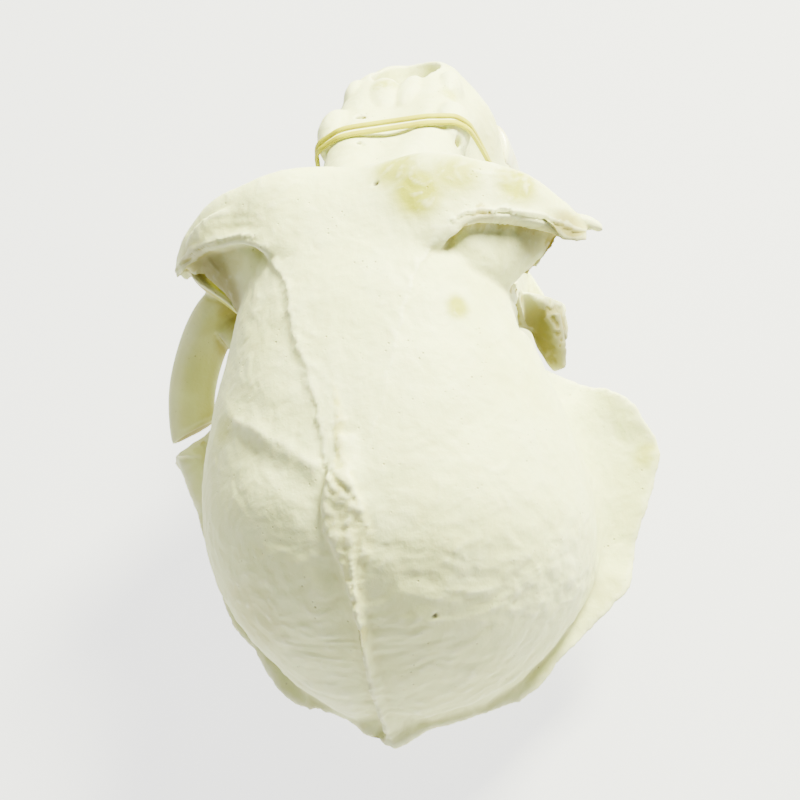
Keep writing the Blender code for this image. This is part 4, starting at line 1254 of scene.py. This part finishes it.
# %% Pull it out of true
# Place, radius and how far it moves.
PULLS = [
    ((-20, 121, 86), 9, (0, -1.8, 0)),
    ((-33, 113, 84), 7.5, (-0.9, 1.3, 0)),
    ((36, 116, 82), 9, (1.3, 1.7, 0)),
    ((46.5, 103.8, 74), 4, (0, 2.4, 0.8)),
    ((-45.5, 52, 45.5), 12, (-2, -0.3, 0)),
    ((52, 45, 44), 9, (-1.4, 0.5, 0)),
    ((54, 76, 50), 8, (-2, -1.2, 0)),
    ((-20, 13, 52), 9, (-0.6, -1.2, 0)),
    ((24, 13, 51), 10, (0.8, -1.4, 0)),
    ((0, 184, 30), 13, (2, 0, 0)),
    ((18, 166, 24), 9, (2.2, 0, 0)),
    ((-13, 182, 28), 8, (2, -1, 0)),
]


def pulled(spots):
    moved = spots.copy()
    for place, radius, move in PULLS:
        moved += bell(np.linalg.norm(spots - place, axis=1), radius)[:, None] * move
    return moved


for thing in (cranium, cheekbone):
    move_points(thing, pulled(points_of(thing)[0]))
print(len(PULLS), "places pulled")

# %% [markdown]
# ## Teeth
#
# A monkey's cheek teeth have two ridges across them, each with a cusp at either end, and a waist
# between. The crown is a stack of rings, and its top goes on inward with a height worked out from
# the two ridges. The canine is a long oval blade with a deep groove down its front. Each tooth is
# its own small body, sunk in the jaw, a touch different from its neighbour.

# %% Cheek teeth
# Each tooth: name, centre X and Y, half-width across the jaw, half-length along it, crown height.
CHEEK_TEETH = [
    ("third_molar", 21.2, 109.8, 5.9, 6.5, 7.4),
    ("second_molar", 21.4, 122.6, 5.8, 6.2, 7.8),
    ("first_molar", 20.8, 134.4, 5.2, 5.4, 7.2),
    ("rear_premolar", 19.8, 143.8, 4.7, 3.8, 7.4),
    ("front_premolar", 19.4, 151.2, 4.2, 3.4, 7.8),
]
# Rings of a crown from its root down: shares of the crown's height and of its greatest width.
CROWN_RINGS = [
    (1.9, 0.74), (1.2, 0.8), (1, 0.84), (0.86, 0.93), (0.6, 1), (0.36, 0.98), (0.16, 0.9),
]
CROWN_TOP = (0.82, 0.68, 0.5, 0.32, 0.15, 0.03)
BITE_DROP = 1.0  # how far below the palate's level a crown is set
CUSP_DROP = 0.8
BASIN_DEPTH = 2.6  # between the ridges
WAIST = 0.07  # how much narrower a molar is between its two ridges
RING_POINTS = 40
rng = np.random.default_rng(5)


def relief(across, along, ridges):
    """How deep the crown's top lies below its cusps, at places from -1 to 1 on the tooth."""
    depth = np.full(len(across), BASIN_DEPTH)
    for middle in ridges:
        cusp = bell(np.abs(across) - 0.52, 0.34)
        ridge = bell(along - middle, 0.26) * (0.45 + 0.55 * cusp)
        depth = np.minimum(depth, BASIN_DEPTH * (1 - ridge))
    return depth


def cheek_tooth(station, side):
    name, x, y, wide, long, tall = station
    ridges = (-0.46, 0.46) if long > 4.5 else (0.0,)
    turn = radians(side * rng.uniform(-3, 3))
    middle = np.array((side * x, y, 0)) + rng.uniform(-0.15, 0.15, 3)
    angle = 2 * pi * np.arange(RING_POINTS) / RING_POINTS
    waist = 1 - (WAIST if len(ridges) == 2 else 0.0) * np.cos(angle) ** 8
    shape = superellipse((0, 0, 0), (1, 0, 0), (0, 1, 0), 2.9, RING_POINTS)[:, :2] * waist[:, None]
    rings = []
    for share, swell in CROWN_RINGS:
        height = np.full(RING_POINTS, share * tall - BITE_DROP)
        rings.append(np.column_stack([shape * swell, height]))
    for swell in CROWN_TOP:
        depth = relief(*(shape * swell).T, ridges) * eased(swell, 1.05, 0.55)
        depth -= BITE_DROP + CUSP_DROP * eased(swell, 1.0, 0.7)
        rings.append(np.column_stack([shape * swell * 0.94, depth]))
    size_and_turn = np.array([
        (wide * cos(turn), wide * sin(turn), 0),
        (-long * sin(turn), long * cos(turn), 0),
        (0, 0, 1),
    ])
    return loft(name, [ring @ size_and_turn + middle for ring in rings])


print(2 * len(CHEEK_TEETH), "cheek teeth")

# %% Canines and incisors
CANINE_ROOT = (19.6, 161.5, 12.0)
CANINE_TIP = (23.4, 156.0, -31.0)
CANINE_BEND = (0.4, 3.2, 0.0)  # from the middle between root and tip
CANINE_HALF = (4.9, 7.0)  # half-width and half-length of its section at the root
CANINE_GROOVE = 0.3  # how deep the groove down its front is, as a share of its half-length
GROOVE_AT = radians(112)


def canine(side):
    root, tip = np.array(CANINE_ROOT), np.array(CANINE_TIP)
    bend = (root + tip) / 2 + CANINE_BEND
    angle = 2 * pi * np.arange(RING_POINTS) / RING_POINTS
    groove = CANINE_GROOVE * bell(angle - GROOVE_AT, 0.3)
    rings = []
    for t in np.linspace(0, 1, 40):
        place = (1 - t) ** 2 * root + 2 * t * (1 - t) * bend + t**2 * tip
        taper = (1 - t**1.6) * 0.93 + 0.07
        wide, long = (half * taper for half in CANINE_HALF)
        section = superellipse((0, 0, 0), (wide, 0, 0), (0, long, 0), 2.2, RING_POINTS)
        section *= (1 - groove * eased(t, 0.0, 0.2) * eased(t, 0.97, 0.7))[:, None]
        rings.append((section + place) * (side, 1, 1))
    return loft("canine", rings)


def incisor(side, x, y, wide, deep, tall, turn):
    """A spade-shaped front tooth that leans forward, hollow behind and worn level at its edge."""
    levels = [
        (9, 0.6, 0.9, -4),
        (5, 0.66, 1, -1.6),
        (2, 0.78, 1.02, -0.4),
        (-0.2 * tall, 0.93, 0.94, 0.8),
        (-0.5 * tall, 1.0, 0.76, 1.8),
        (-0.8 * tall, 0.99, 0.5, 2.4),
        (-0.96 * tall, 0.94, 0.34, 2.6),
        (-tall, 0.86, 0.22, 2.6),
    ]
    swing = radians(side * (turn + rng.uniform(-3, 3)))
    rings = []
    for level, w, d, lean in smooth(levels, 26):
        across = np.array((wide * w * cos(swing), -wide * w * sin(swing), 0))
        back = np.array((deep * d * sin(swing), deep * d * cos(swing), 0))
        centre = (side * x + lean * sin(swing), y + lean * cos(swing), 4.0 + level)
        rings.append(superellipse(centre, across, back, 2.6, RING_POINTS))
    return loft("incisor", rings)


# Each incisor: X and Y, half-width, half-depth, height, and its turn in degrees.
INCISORS = [(12.0, 176.6, 3.6, 3.6, 11.0, 32.0), (4.7, 183.4, 4.3, 3.9, 13.0, 10.0)]
dentition = []
for side in (-1, 1):
    dentition += [cheek_tooth(station, side) for station in CHEEK_TEETH] + [canine(side)]
    dentition += [incisor(side, *station) for station in INCISORS]
teeth = dentition[0]
with bpy.context.temp_override(
    active_object=teeth, object=teeth, selected_editable_objects=dentition
):
    bpy.ops.object.join()
teeth.name = "teeth"
step = teeth.modifiers.new("rounded", "SUBSURF")
step.levels = step.render_levels = 1
baked(teeth)
print("teeth", len(teeth.data.polygons), "faces")

# %% [markdown]
# ## The rubber band
#
# One loop of rubber is doubled round the snout, so two flat strands lie side by side and cross
# once where nobody sees it. A band pulled tight spans every hollow and touches only what stands
# out furthest, which is the convex line round the bone where the band's plane cuts it.

# %% Rubber band
BAND_MIDDLE_Y = 142.6
BAND_SLANT = (0.12, 0.12)  # how far it runs forward for each step to the right and each step up
BAND_LEVEL = 50.0  # the height at which it crosses the middle there
BAND_FLOOR = -4.0  # teeth below this height don't hold it
BAND_SPREAD = 0.9  # how far each strand stays from the middle between the two
BAND_HALF = (0.45, 0.62)  # half-thickness and half-width of one strand
BAND_LIFT = 1.2  # how far one strand rises over the other where they cross
BAND_CLEAR = 0.75  # from the bone to the middle of the strand
BAND_REACH = 1.2  # bone this close to the band's plane holds it
BAND_STEPS = 320


def band_plane(x, z):
    return BAND_MIDDLE_Y + BAND_SLANT[0] * x + BAND_SLANT[1] * (z - BAND_LEVEL)


def taut_line(things):
    """The line in X and Z that a band pulled tight takes round what lies close to its plane."""
    spots = np.vstack([points_of(thing)[0] for thing in things])
    near = np.abs(spots[:, 1] - band_plane(spots[:, 0], spots[:, 2])) < BAND_REACH
    found = spots[near & (spots[:, 2] > BAND_FLOOR)][:, (0, 2)]
    angles = pi / 2 + np.linspace(0, 2 * pi, 1440, endpoint=False)
    out = np.column_stack([np.cos(angles), np.sin(angles)])
    line = found[(found @ out.T).argmax(axis=0)] + out * BAND_CLEAR
    line = np.vstack([line, line[:1]])
    far = np.concatenate([[0], np.cumsum(np.linalg.norm(np.diff(line, axis=0), axis=1))])
    even = np.linspace(0, far[-1], BAND_STEPS, endpoint=False)
    return np.column_stack([np.interp(even, far, line[:, k]) for k in (0, 1)])


def rubber_band(things):
    once = taut_line(things)
    turns = np.vstack([once, once])
    phase = 2 * pi * np.arange(len(turns)) / len(turns)
    outward = turns - once.mean(axis=0)
    outward /= np.linalg.norm(outward, axis=1)[:, None]
    turns = turns + outward * (BAND_LIFT * np.maximum(0, np.sin(phase)) ** 3)[:, None]
    y = band_plane(turns[:, 0], turns[:, 1]) + BAND_SPREAD * np.cos(phase)
    path = np.column_stack([turns[:, 0], y, turns[:, 1]])
    run = np.roll(path, -1, axis=0) - np.roll(path, 1, axis=0)
    rings = []
    for place, along in zip(path, run):
        along = along / np.linalg.norm(along)
        across = np.array((0.0, 1.0, 0.0)) - along * along[1]
        across /= np.linalg.norm(across)
        thick, wide = BAND_HALF
        rings.append(superellipse(place, across * wide, np.cross(along, across) * thick, 3.2, 14))
    return loft("band", rings, closed=True)


band = rubber_band([cranium, teeth])
print("band", len(band.data.polygons), "faces")

# %% [markdown]
# ## Lean and rest
#
# The face swings a little to its left, and without its lower jaw the skull rests nose up, on the
# tips of its canines and on the two knobs at the neck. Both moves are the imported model's own, so
# that the skin lands where its solids are.

# %% Lean and rest
FACE_LEAN = 8.4  # how far the tip of the upper jaw stands to the left of the middle
RIDGE_LEAN = 0.55  # how much of that lean the top of the snout takes
LEAN_START = 45.0
LEAN_END = 186.0
LEAN_POWER = 1.3
UPPER_Y = (112.0, 140.0)  # from where to where the top of the snout parts from the rest
UPPER_Z = (12.0, 52.0)
REST_TRIM = 0.35  # how far the condyles and canine tips are worn flat
CONDYLES_BEHIND = 80.0
CANINES_AHEAD = 120.0


def leaned(spots):
    y, z = spots[:, 1], spots[:, 2]
    run = np.maximum(0, (y - LEAN_START) / (LEAN_END - LEAN_START))
    upper = eased(y, *UPPER_Y) * eased(z, *UPPER_Z)
    sideways = FACE_LEAN * run**LEAN_POWER * (1 - (1 - RIDGE_LEAN) * upper)
    return spots - np.outer(sideways, (1, 0, 0))


def rest_pitch(spots):
    """The angle that brings the tips of the canines level with the condyles."""
    back, front = spots[spots[:, 1] < CONDYLES_BEHIND], spots[spots[:, 1] > CANINES_AHEAD]
    low, high = 0.0, radians(45)
    for _ in range(30):
        angle = (low + high) / 2
        level = [(group @ (0, sin(angle), cos(angle))).min() for group in (front, back)]
        low, high = (angle, high) if level[0] < level[1] else (low, angle)
    return angle


whole = [cranium, cheekbone, teeth, band]
for thing in whole:
    move_points(thing, leaned(points_of(thing)[0]))
pitch = rest_pitch(np.vstack([points_of(thing)[0] for thing in whole]))
turn = Matrix.Rotation(pitch, 4, "X")
for thing in whole:
    thing.data.transform(turn)
spots = np.vstack([points_of(thing)[0] for thing in whole])
middle = (spots.min(axis=0) + spots.max(axis=0)) / 2 * MM
cad_middle = (Vector(cad_low) + Vector(cad_high)) / 2
drop = -spots[:, 2].min() - REST_TRIM
shift = Matrix.Translation((cad_middle.x - middle[0], cad_middle.y - middle[1], drop * MM))
for thing in whole:
    thing.data.transform(shift)
    spots, _ = points_of(thing)
    spots[:, 2] = np.maximum(spots[:, 2], 0.0)
    move_points(thing, spots)
rest = shift @ turn
print("rests", round(pitch * 180 / pi, 2), "degrees nose up")

# %% [markdown]
# ## Painted shade, painted highlights and stains
#
# Old bone isn't one colour: a few round spots have yellowed. The hollows are painted dark olive
# as painted shade, points that lie under their surroundings are painted darker as painted shade,
# and points that stand over them are painted paler as a painted highlight. The depth of a hollow
# is measured here by looking out from the bone in many directions and counting how many of them
# hit bone again. The result is stored on the mesh as a named value, which the bone's material
# reads.

# %% Measure the hollows
def outward_ways(count=28):
    """Directions spread evenly over a half sphere round +Z, denser towards its top."""
    k = np.arange(count) + 0.5
    height = np.sqrt(1 - k / count * 0.96)
    flat = np.sqrt(1 - height**2)
    angle = k * pi * (3 - 5**0.5)
    return np.column_stack([flat * np.cos(angle), flat * np.sin(angle), height])


def shut_in(things, reach, samples):
    """For each thing, how much of the way out is closed at its points, from 0 in the open to 1."""
    corners, faces = [], []
    for thing in things:
        start = sum(len(c) for c in corners)
        corners.append(points_of(thing)[0])
        faces += [[start + i for i in face.vertices] for face in thing.data.polygons]
    tree = BVHTree.FromPolygons(np.vstack(corners).tolist(), faces)
    ways = outward_ways()
    result = []
    for thing in things:
        spots, facing = points_of(thing)
        chosen = rng.permutation(len(spots))[:samples]
        known = KDTree(len(chosen))
        closed = np.empty(len(chosen))
        for row, i in enumerate(chosen):
            normal = Vector(facing[i])
            turn = normal.to_track_quat("Z", "Y").to_matrix()
            start = Vector(spots[i]) + normal * 0.3
            turned = ways @ np.array(turn.transposed())
            hits = [tree.ray_cast(start, way, reach)[3] for way in turned]
            closed[row] = np.mean([0.0 if far is None else 1 - far / reach for far in hits])
            known.insert(spots[i], row)
        known.balance()
        near = np.array([[found[1:] for found in known.find_n(p, 4)] for p in spots])
        rows, weights = near[:, :, 0].astype(int), 1 / (near[:, :, 1] + 0.3)
        result.append((closed[rows] * weights).sum(axis=1) / weights.sum(axis=1))
    return result


def fine_relief(thing, rounds):
    """How far each point stands over (positive) or under its near surroundings, in millimetres."""
    spots, facing = points_of(thing)
    return np.einsum("ij,ij->i", spots - neighbour_mean(thing, spots, rounds), facing)


def store(thing, name, values):
    made = thing.data.attributes.new(name, "FLOAT", "POINT")
    made.data.foreach_set("value", np.asarray(values, np.float32))


# Painted shade: places painted darker olive than their hollows make them, where shade falls:
# place before the skull leans, radius, strength.
PAINTED_SHADE_SPOTS = [
    ((-36, 103, 80), 11, 0.9),
    ((-28, 103, 85), 6.5, 0.6),
    ((43, 104.5, 77), 9, 0.9),
    ((37, 104.5, 80), 6.5, 0.6),
    ((1, 166, 40), 5, 0.8),
    ((-33, 98, 78), 12.5, 1),
    ((36, 94.5, 50), 14, 1),
    ((-22, 28, 78), 17, 0.5),
    ((41, 44, 68), 11, 0.35),
    ((46, 36, 48), 9, 0.5),
    ((-24, 92, 85), 10, 0.4),
    ((-46, 90, 54), 16, 0.45),
    ((-41, 100, 62), 13, 0.55),
    ((21, 158, 26), 16, 0.5),
    ((24, 140, 36), 15, 0.45),
    ((-23, 146, 32), 16, 0.35),
]


def placed(place, spots):
    """The point nearest to a place that was given before the skull leaned and came to rest."""
    place = np.array(rest @ (Vector(leaned(np.array([place]))[0]) * MM)) / MM
    return spots[np.linalg.norm(spots - place, axis=1).argmin()]


def marked(thing, marks):
    """Soft wavy-edged marks on a thing: its strength inside each, and 0 outside."""
    spots, _ = points_of(thing)
    wavy = spots + 0.8 * lumps(spots, 4.5, 20)[:, None]
    found = np.zeros(len(spots))
    for place, radius, strength in marks:
        away = np.linalg.norm(wavy - placed(place, spots), axis=1)
        found = np.maximum(found, strength * eased(away, radius, 0.3 * radius))
    return found


SAMPLES = 14000
HOLLOW_REACH_OUT = 26.0  # bone further off than this shuts nothing in
PAINTED_SHADE_SHARE = 0.55  # a full mark counts as a hollow this deep
RELIEF_FULL = 0.12  # mm
hard = (cranium, cheekbone, teeth)
for thing, closed in zip(hard, shut_in(hard, HOLLOW_REACH_OUT, SAMPLES)):
    if thing is not teeth:
        # Painted shade: the spots deepen the measured hollows, so they are painted dark olive too.
        closed = np.maximum(closed, marked(thing, PAINTED_SHADE_SPOTS) * PAINTED_SHADE_SHARE)
    store(thing, "hollow", closed)
    store(thing, "relief", np.clip(fine_relief(thing, 6) / RELIEF_FULL, -1, 1))
    print(thing.name, "hollows from", round(closed.min(), 2), "to", round(closed.max(), 2))

# %% Stains and painted shade
# Yellowed spots: place on the skull before it leans, radius, strength.
STAINS = [
    ((14.8, 112.4, 92.2), 8.5, 1),
    ((9.6, 118.6, 90), 7.5, 0.8),
    ((22.7, 115.7, 91.1), 7.5, 0.8),
    ((34.4, 114.9, 85.7), 7, 1),
    ((21.5, 86.6, 90.1), 3.8, 0.9),
    ((-28.7, 65, 87.4), 5, 0.4),
    ((56, 66, 48), 5, 0.6),
    ((-3.2, 163, 45), 5, 0.7),
    ((12, 158, 45), 4, 0.5),
]
# Painted shade: dark paint deep under the rims of the brow and on the stump of the right
# cheekbone, where little light comes: place before the skull leans, radius, strength.
DEEP_SHADE = [
    ((-36, 101, 80), 9, 0.5),
    ((-32, 98, 78), 12, 0.5),
    ((42, 104, 79.5), 7.5, 0.45),
    ((36, 104, 81.5), 6.5, 0.45),
    ((30, 103.5, 86), 4.5, 0.35),
    ((36, 94, 50), 14, 0.7),
]
for thing in (cranium, cheekbone):
    store(thing, "stain", marked(thing, STAINS))
store(cranium, "warm", warm)
# Painted shade: the small holes and the spots above are painted dark by the bone material.
store(cranium, "painted_shade", np.maximum(painted_shade, marked(cranium, DEEP_SHADE)))
print(len(STAINS), "stains")

# %% [markdown]
# ## Writing materials as sums
#
# A material is a sum of patterns: so much of this, less where that is. Blender builds such sums
# from nodes. Here a small class wraps a socket, so that the sum can be written as one, and each
# sign adds its own node.


# %% Sums on sockets
class Wire:
    """An output socket that can be added to, taken from, multiplied and so on."""

    def __init__(self, paint, socket):
        self.paint = paint
        self.socket = socket

    def math(self, operation, *values):
        return self.paint.math(operation, self, *values)

    def __add__(self, other):
        return self.math("ADD", other)

    __radd__ = __add__

    def __sub__(self, other):
        return self.math("SUBTRACT", other)

    def __rsub__(self, other):
        return self.paint.math("SUBTRACT", other, self)

    def __mul__(self, other):
        return self.math("MULTIPLY", other)

    __rmul__ = __mul__

    def within(self, low, high):
        """0 up to low, 1 from high on, and a soft slope between."""
        sockets = {"Value": self, "From Min": low, "From Max": high}
        return self.paint.node("ShaderNodeMapRange", {"interpolation_type": "SMOOTHSTEP"}, sockets)


class Paint:
    """One material and the nodes that it is made from."""

    def __init__(self, name, **plain):
        self.material = bpy.data.materials.new(name)
        self.material.use_nodes = True
        self.tree = self.material.node_tree
        self.shader = self.tree.nodes["Principled BSDF"]
        for socket, value in plain.items():
            title = socket.replace("_", " ").title().replace("Ior", "IOR")
            self.shader.inputs[title].default_value = value

    def node(self, kind, settings=(), sockets=(), output=0):
        made = self.tree.nodes.new(kind)
        for name, value in dict(settings).items():
            setattr(made, name, value)
        for name, value in dict(sockets).items():
            self.put(made.inputs[name], value)
        return Wire(self, made.outputs[output])

    def put(self, socket, value):
        if isinstance(value, Wire):
            self.tree.links.new(value.socket, socket)
        else:
            socket.default_value = value

    def math(self, operation, *values):
        return self.node("ShaderNodeMath", {"operation": operation}, dict(enumerate(values)))

    def mix(self, factor, first, second):
        sockets = {0: factor, 6: first, 7: second}
        return self.node("ShaderNodeMix", {"data_type": "RGBA", "clamp_factor": True}, sockets, 2)

    def stored(self, name):
        return self.node("ShaderNodeAttribute", {"attribute_name": name}, output="Fac")

    def place(self):
        """Where a point is, in millimetres."""
        return self.stretched(self.node("ShaderNodeTexCoord", output="Object"), (1 / MM,) * 3)

    def stretched(self, place, scale):
        return self.node("ShaderNodeVectorMath", {"operation": "MULTIPLY"}, {0: place, 1: scale})

    def noise(self, place, size, detail=3.0, rough=0.55):
        """Soft random values round 0.5 in lumps of that size in millimetres."""
        sockets = {"Vector": place, "Scale": 1 / size, "Detail": detail, "Roughness": rough}
        return self.node("ShaderNodeTexNoise", {}, sockets, "Fac")

    def dots(self, place, size):
        """How far a point is from the nearest of many scattered dots, 0 to about 1."""
        sockets = {"Vector": place, "Scale": 1 / size}
        return self.node("ShaderNodeTexVoronoi", {}, sockets, "Distance")

    def finish(self, colour, roughness, height, depth):
        """Colour and roughness, and a height in millimetres that only shades."""
        self.put(self.shader.inputs["Base Color"], colour)
        self.put(self.shader.inputs["Roughness"], roughness)
        sockets = {"Height": height, "Strength": 1.0, "Distance": depth * MM}
        self.put(self.shader.inputs["Normal"], self.node("ShaderNodeBump", {}, sockets))
        return self.material


print("materials are written as sums on sockets")

# %% [markdown]
# ## Bone
#
# Cleaned bone is a pale, slightly green ivory with a soft sheen. Up close it is grained, with
# pores as fine as pin pricks that lie thicker near the crests. Large soft patches keep it from
# being even. The hollows are painted olive as painted shade, and the raised edges are painted a
# little paler as a painted highlight.


# %% Bone material
def shade(red, green, blue):
    """A colour from screen values of 0 to 255."""
    return tuple((v / 255) ** 2.2 for v in (red, green, blue)) + (1.0,)


def bone_material():
    paint = Paint("bone", subsurface_weight=0.05, subsurface_scale=0.001, specular_ior_level=0.4)
    place = paint.place()
    hollow = paint.stored("hollow")
    relief = paint.stored("relief")
    patches = paint.noise(place, 34.0, 4.0)
    clouds = paint.noise(place, 9.0, 5.0)
    grain = paint.noise(place, 0.9, 4.0, 0.62)
    fibres = paint.noise(paint.stretched(place, (1.0, 0.22, 1.0)), 0.7, 3.0)
    prick = paint.dots(place, 1.5)
    many = paint.noise(place, 7.0, 2.0).within(0.5, 0.72)
    pores = (1 - prick.within(0.06, 0.2)) * many
    # Painted shade: how much of the dark olive a point gets, from how shut in it is.
    hollow_shade = hollow.within(0.12, 0.55)
    colour = paint.mix(patches.within(0.36, 0.66), shade(230, 235, 172), shade(222, 226, 158))
    colour = paint.mix(clouds.within(0.42, 0.75) * 0.5, colour, shade(238, 242, 192))
    # Painted shade: the hollows are painted dark olive.
    colour = paint.mix(hollow_shade * 0.92, colour, shade(168, 157, 72))
    colour = paint.mix(paint.stored("warm") * (0.45 + 0.7 * clouds), colour, shade(222, 220, 134))
    colour = paint.mix(paint.stored("stain") * (1.0 + 0.2 * clouds), colour, shade(176, 178, 34))
    # Painted highlight: points that stand over their surroundings are painted paler.
    colour = paint.mix(relief.within(0.15, 0.9) * 0.45, colour, shade(244, 246, 202))
    # Painted shade: points that lie under their surroundings are painted darker.
    colour = paint.mix((0 - relief).within(0.2, 1.0) * 0.22, colour, shade(186, 180, 112))
    colour = paint.mix(pores * 0.6, colour, shade(120, 108, 60))
    # Painted shade: small holes, the places under the brow rims and the right stump go dark.
    colour = paint.mix(paint.stored("painted_shade"), colour, shade(66, 60, 40))
    roughness = 0.5 + 0.16 * grain + 0.12 * hollow_shade - 0.06 * relief.within(0.2, 0.9)
    bumps = paint.noise(place, 2.6, 4.0)
    height = 0.45 * grain + 0.3 * fibres - 1.0 * pores + 0.3 * clouds + 1.1 * bumps
    return paint.finish(colour, roughness, height, 0.13)


def enamel_material():
    paint = Paint("enamel", subsurface_weight=0.1, subsurface_scale=0.001, coat_weight=0.25)
    paint.shader.inputs["Coat Roughness"].default_value = 0.2
    place = paint.place()
    hollow = paint.stored("hollow")
    relief = paint.stored("relief")
    clouds = paint.noise(place, 6.0, 4.0)
    lines = paint.noise(paint.stretched(place, (1.0, 1.0, 6.0)), 2.2, 3.0)
    colour = paint.mix(clouds.within(0.4, 0.7), shade(234, 234, 190), shade(220, 214, 158))
    # Painted shade: the hollows of the teeth are painted dark olive.
    colour = paint.mix(hollow.within(0.2, 0.62) * 0.8, colour, shade(150, 132, 70))
    # Painted shade: points of the teeth that lie under their surroundings are painted brown.
    colour = paint.mix((0 - relief).within(0.2, 1.0) * 0.6, colour, shade(132, 104, 66))
    return paint.finish(colour, 0.26 + 0.2 * clouds, lines, 0.05)


def rubber_material():
    paint = Paint("rubber", specular_ior_level=0.3)
    place = paint.place()
    clouds = paint.noise(place, 5.0, 3.0)
    grain = paint.noise(place, 0.35, 2.0)
    colour = paint.mix(clouds.within(0.35, 0.7), shade(196, 194, 0), shade(184, 176, 0))
    return paint.finish(colour, 0.48 + 0.2 * grain, grain, 0.03)


bone_finish = bone_material()
finishes = (bone_finish, bone_finish, enamel_material(), rubber_material())
for thing, finish in zip(whole, finishes):
    faces = thing.data.polygons
    thing.data.materials.clear()
    thing.data.materials.append(finish)
    faces.foreach_set("material_index", np.zeros(len(faces), np.int32))
    faces.foreach_set("use_smooth", np.ones(len(faces), bool))
    thing.data.update()
    print(thing.name, "wears", finish.name)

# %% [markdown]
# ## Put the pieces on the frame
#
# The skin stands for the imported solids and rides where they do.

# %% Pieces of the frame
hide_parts("braincase", "skull_base", "brow", "snout")
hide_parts("left_cheekbone")
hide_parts("snout")
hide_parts("rubber_band")
for thing in whole:
    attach(thing, "root")
print("pieces:", [thing.name for thing in whole])

# %% [markdown]
# ## Floor, light and camera
#
# The skull was photographed from above and a little behind, close up, on white. A big soft light
# stands at the upper right of the picture and a weak one fills the left. The camera was found by
# setting the outline of the model on that of the photograph, as angles and a distance in the
# skull's own frame.

# %% Floor and camera
PHOTO_SIZE = 800  # pixels each way
PHOTO_AZIMUTH = radians(37.1)
PHOTO_ELEVATION = radians(68.9)
PHOTO_ROLL = radians(-37.9)
PHOTO_DISTANCE = 367.0
PHOTO_TARGET = (0.0, 70.0, 60.0)
PHOTO_FOCAL = 1674.0  # pixels
PHOTO_MIDDLE = (393.0, 433.0)  # where the target lies in the picture
FLOOR_HALF = 3.0  # metres
FLOOR_GLOW = 2.5  # the table is lit from below a little, so that it stays white under the skull


def make_floor():
    bm = bmesh.new()
    bmesh.ops.create_grid(bm, x_segments=8, y_segments=8, size=FLOOR_HALF)
    floor = mesh_object("floor", bm)
    paint = Paint("pale_floor")
    grain = paint.noise(paint.place(), 6.0, 2.0)
    colour = paint.mix(grain * 0.2, shade(134, 134, 133), shade(128, 128, 127))
    paint.put(paint.shader.inputs["Emission Color"], shade(255, 255, 255))
    paint.shader.inputs["Emission Strength"].default_value = FLOOR_GLOW
    floor.data.materials.append(paint.finish(colour, 0.85 + 0.05 * grain, grain, 0.05))


def camera_axes():
    """Right, up and back of the camera in the skull's frame."""
    level = cos(PHOTO_ELEVATION)
    back = Vector((sin(PHOTO_AZIMUTH) * level, -cos(PHOTO_AZIMUTH) * level, sin(PHOTO_ELEVATION)))
    right = (-back).cross(Vector((0, 0, 1))).normalized()
    up = right.cross(-back)
    turned = cos(PHOTO_ROLL) * right + sin(PHOTO_ROLL) * up
    return turned, cos(PHOTO_ROLL) * up - sin(PHOTO_ROLL) * right, back


def make_camera():
    right, up, back = camera_axes()
    place = (Vector(PHOTO_TARGET) + back * PHOTO_DISTANCE) * MM
    data = bpy.data.cameras.new("photo_camera")
    data.sensor_width = 36.0
    data.lens = PHOTO_FOCAL * data.sensor_width / PHOTO_SIZE
    data.shift_x = (PHOTO_SIZE / 2 - PHOTO_MIDDLE[0]) / PHOTO_SIZE
    data.shift_y = (PHOTO_MIDDLE[1] - PHOTO_SIZE / 2) / PHOTO_SIZE
    data.clip_start = 0.01
    camera = bpy.data.objects.new("photo_camera", data)
    bpy.context.scene.collection.objects.link(camera)
    turned = Matrix((right, up, back)).transposed().to_4x4()
    camera.matrix_world = rest @ Matrix.Translation(place) @ turned
    bpy.context.scene.camera = camera
    return camera


make_floor()
camera = make_camera()
print("camera at", [round(v, 3) for v in camera.matrix_world.translation])

# %% Light
# Each light: the way to it as right, up and towards the camera, size in metres, watts, colour.
LIGHTS = {
    "key": ((0.36, 0.82, 0.44), 0.3, 80.0, (0.98, 1.0, 0.70)),
    "fill": ((-0.30, 0.80, 0.50), 0.6, 9.0, (0.98, 1.0, 0.75)),
}
LIGHT_DISTANCE = 0.9  # metres
WORLD_STRENGTH = 0.06


def soft_light(name, way, size, power, colour):
    """A square light that shines on the skull."""
    right, up, back = camera_axes()
    aim = (rest.to_3x3() @ (right * way[0] + up * way[1] + back * way[2])).normalized()
    data = bpy.data.lights.new(name, "AREA")
    data.shape = "SQUARE"
    data.size = size
    data.energy = power
    data.color = colour
    light = bpy.data.objects.new(name, data)
    bpy.context.scene.collection.objects.link(light)
    light.location = Vector(PHOTO_TARGET) * MM + aim * LIGHT_DISTANCE
    light.rotation_mode = "QUATERNION"
    light.rotation_quaternion = aim.to_track_quat("Z", "Y")


for name, light in LIGHTS.items():
    soft_light(name, *light)
world = bpy.data.worlds.new("studio")
world.use_nodes = True
sky = world.node_tree.nodes["Background"].inputs
sky["Color"].default_value = (1.0, 1.0, 1.0, 1.0)
sky["Strength"].default_value = WORLD_STRENGTH
bpy.context.scene.world = world
print("two soft lights and a pale sky")
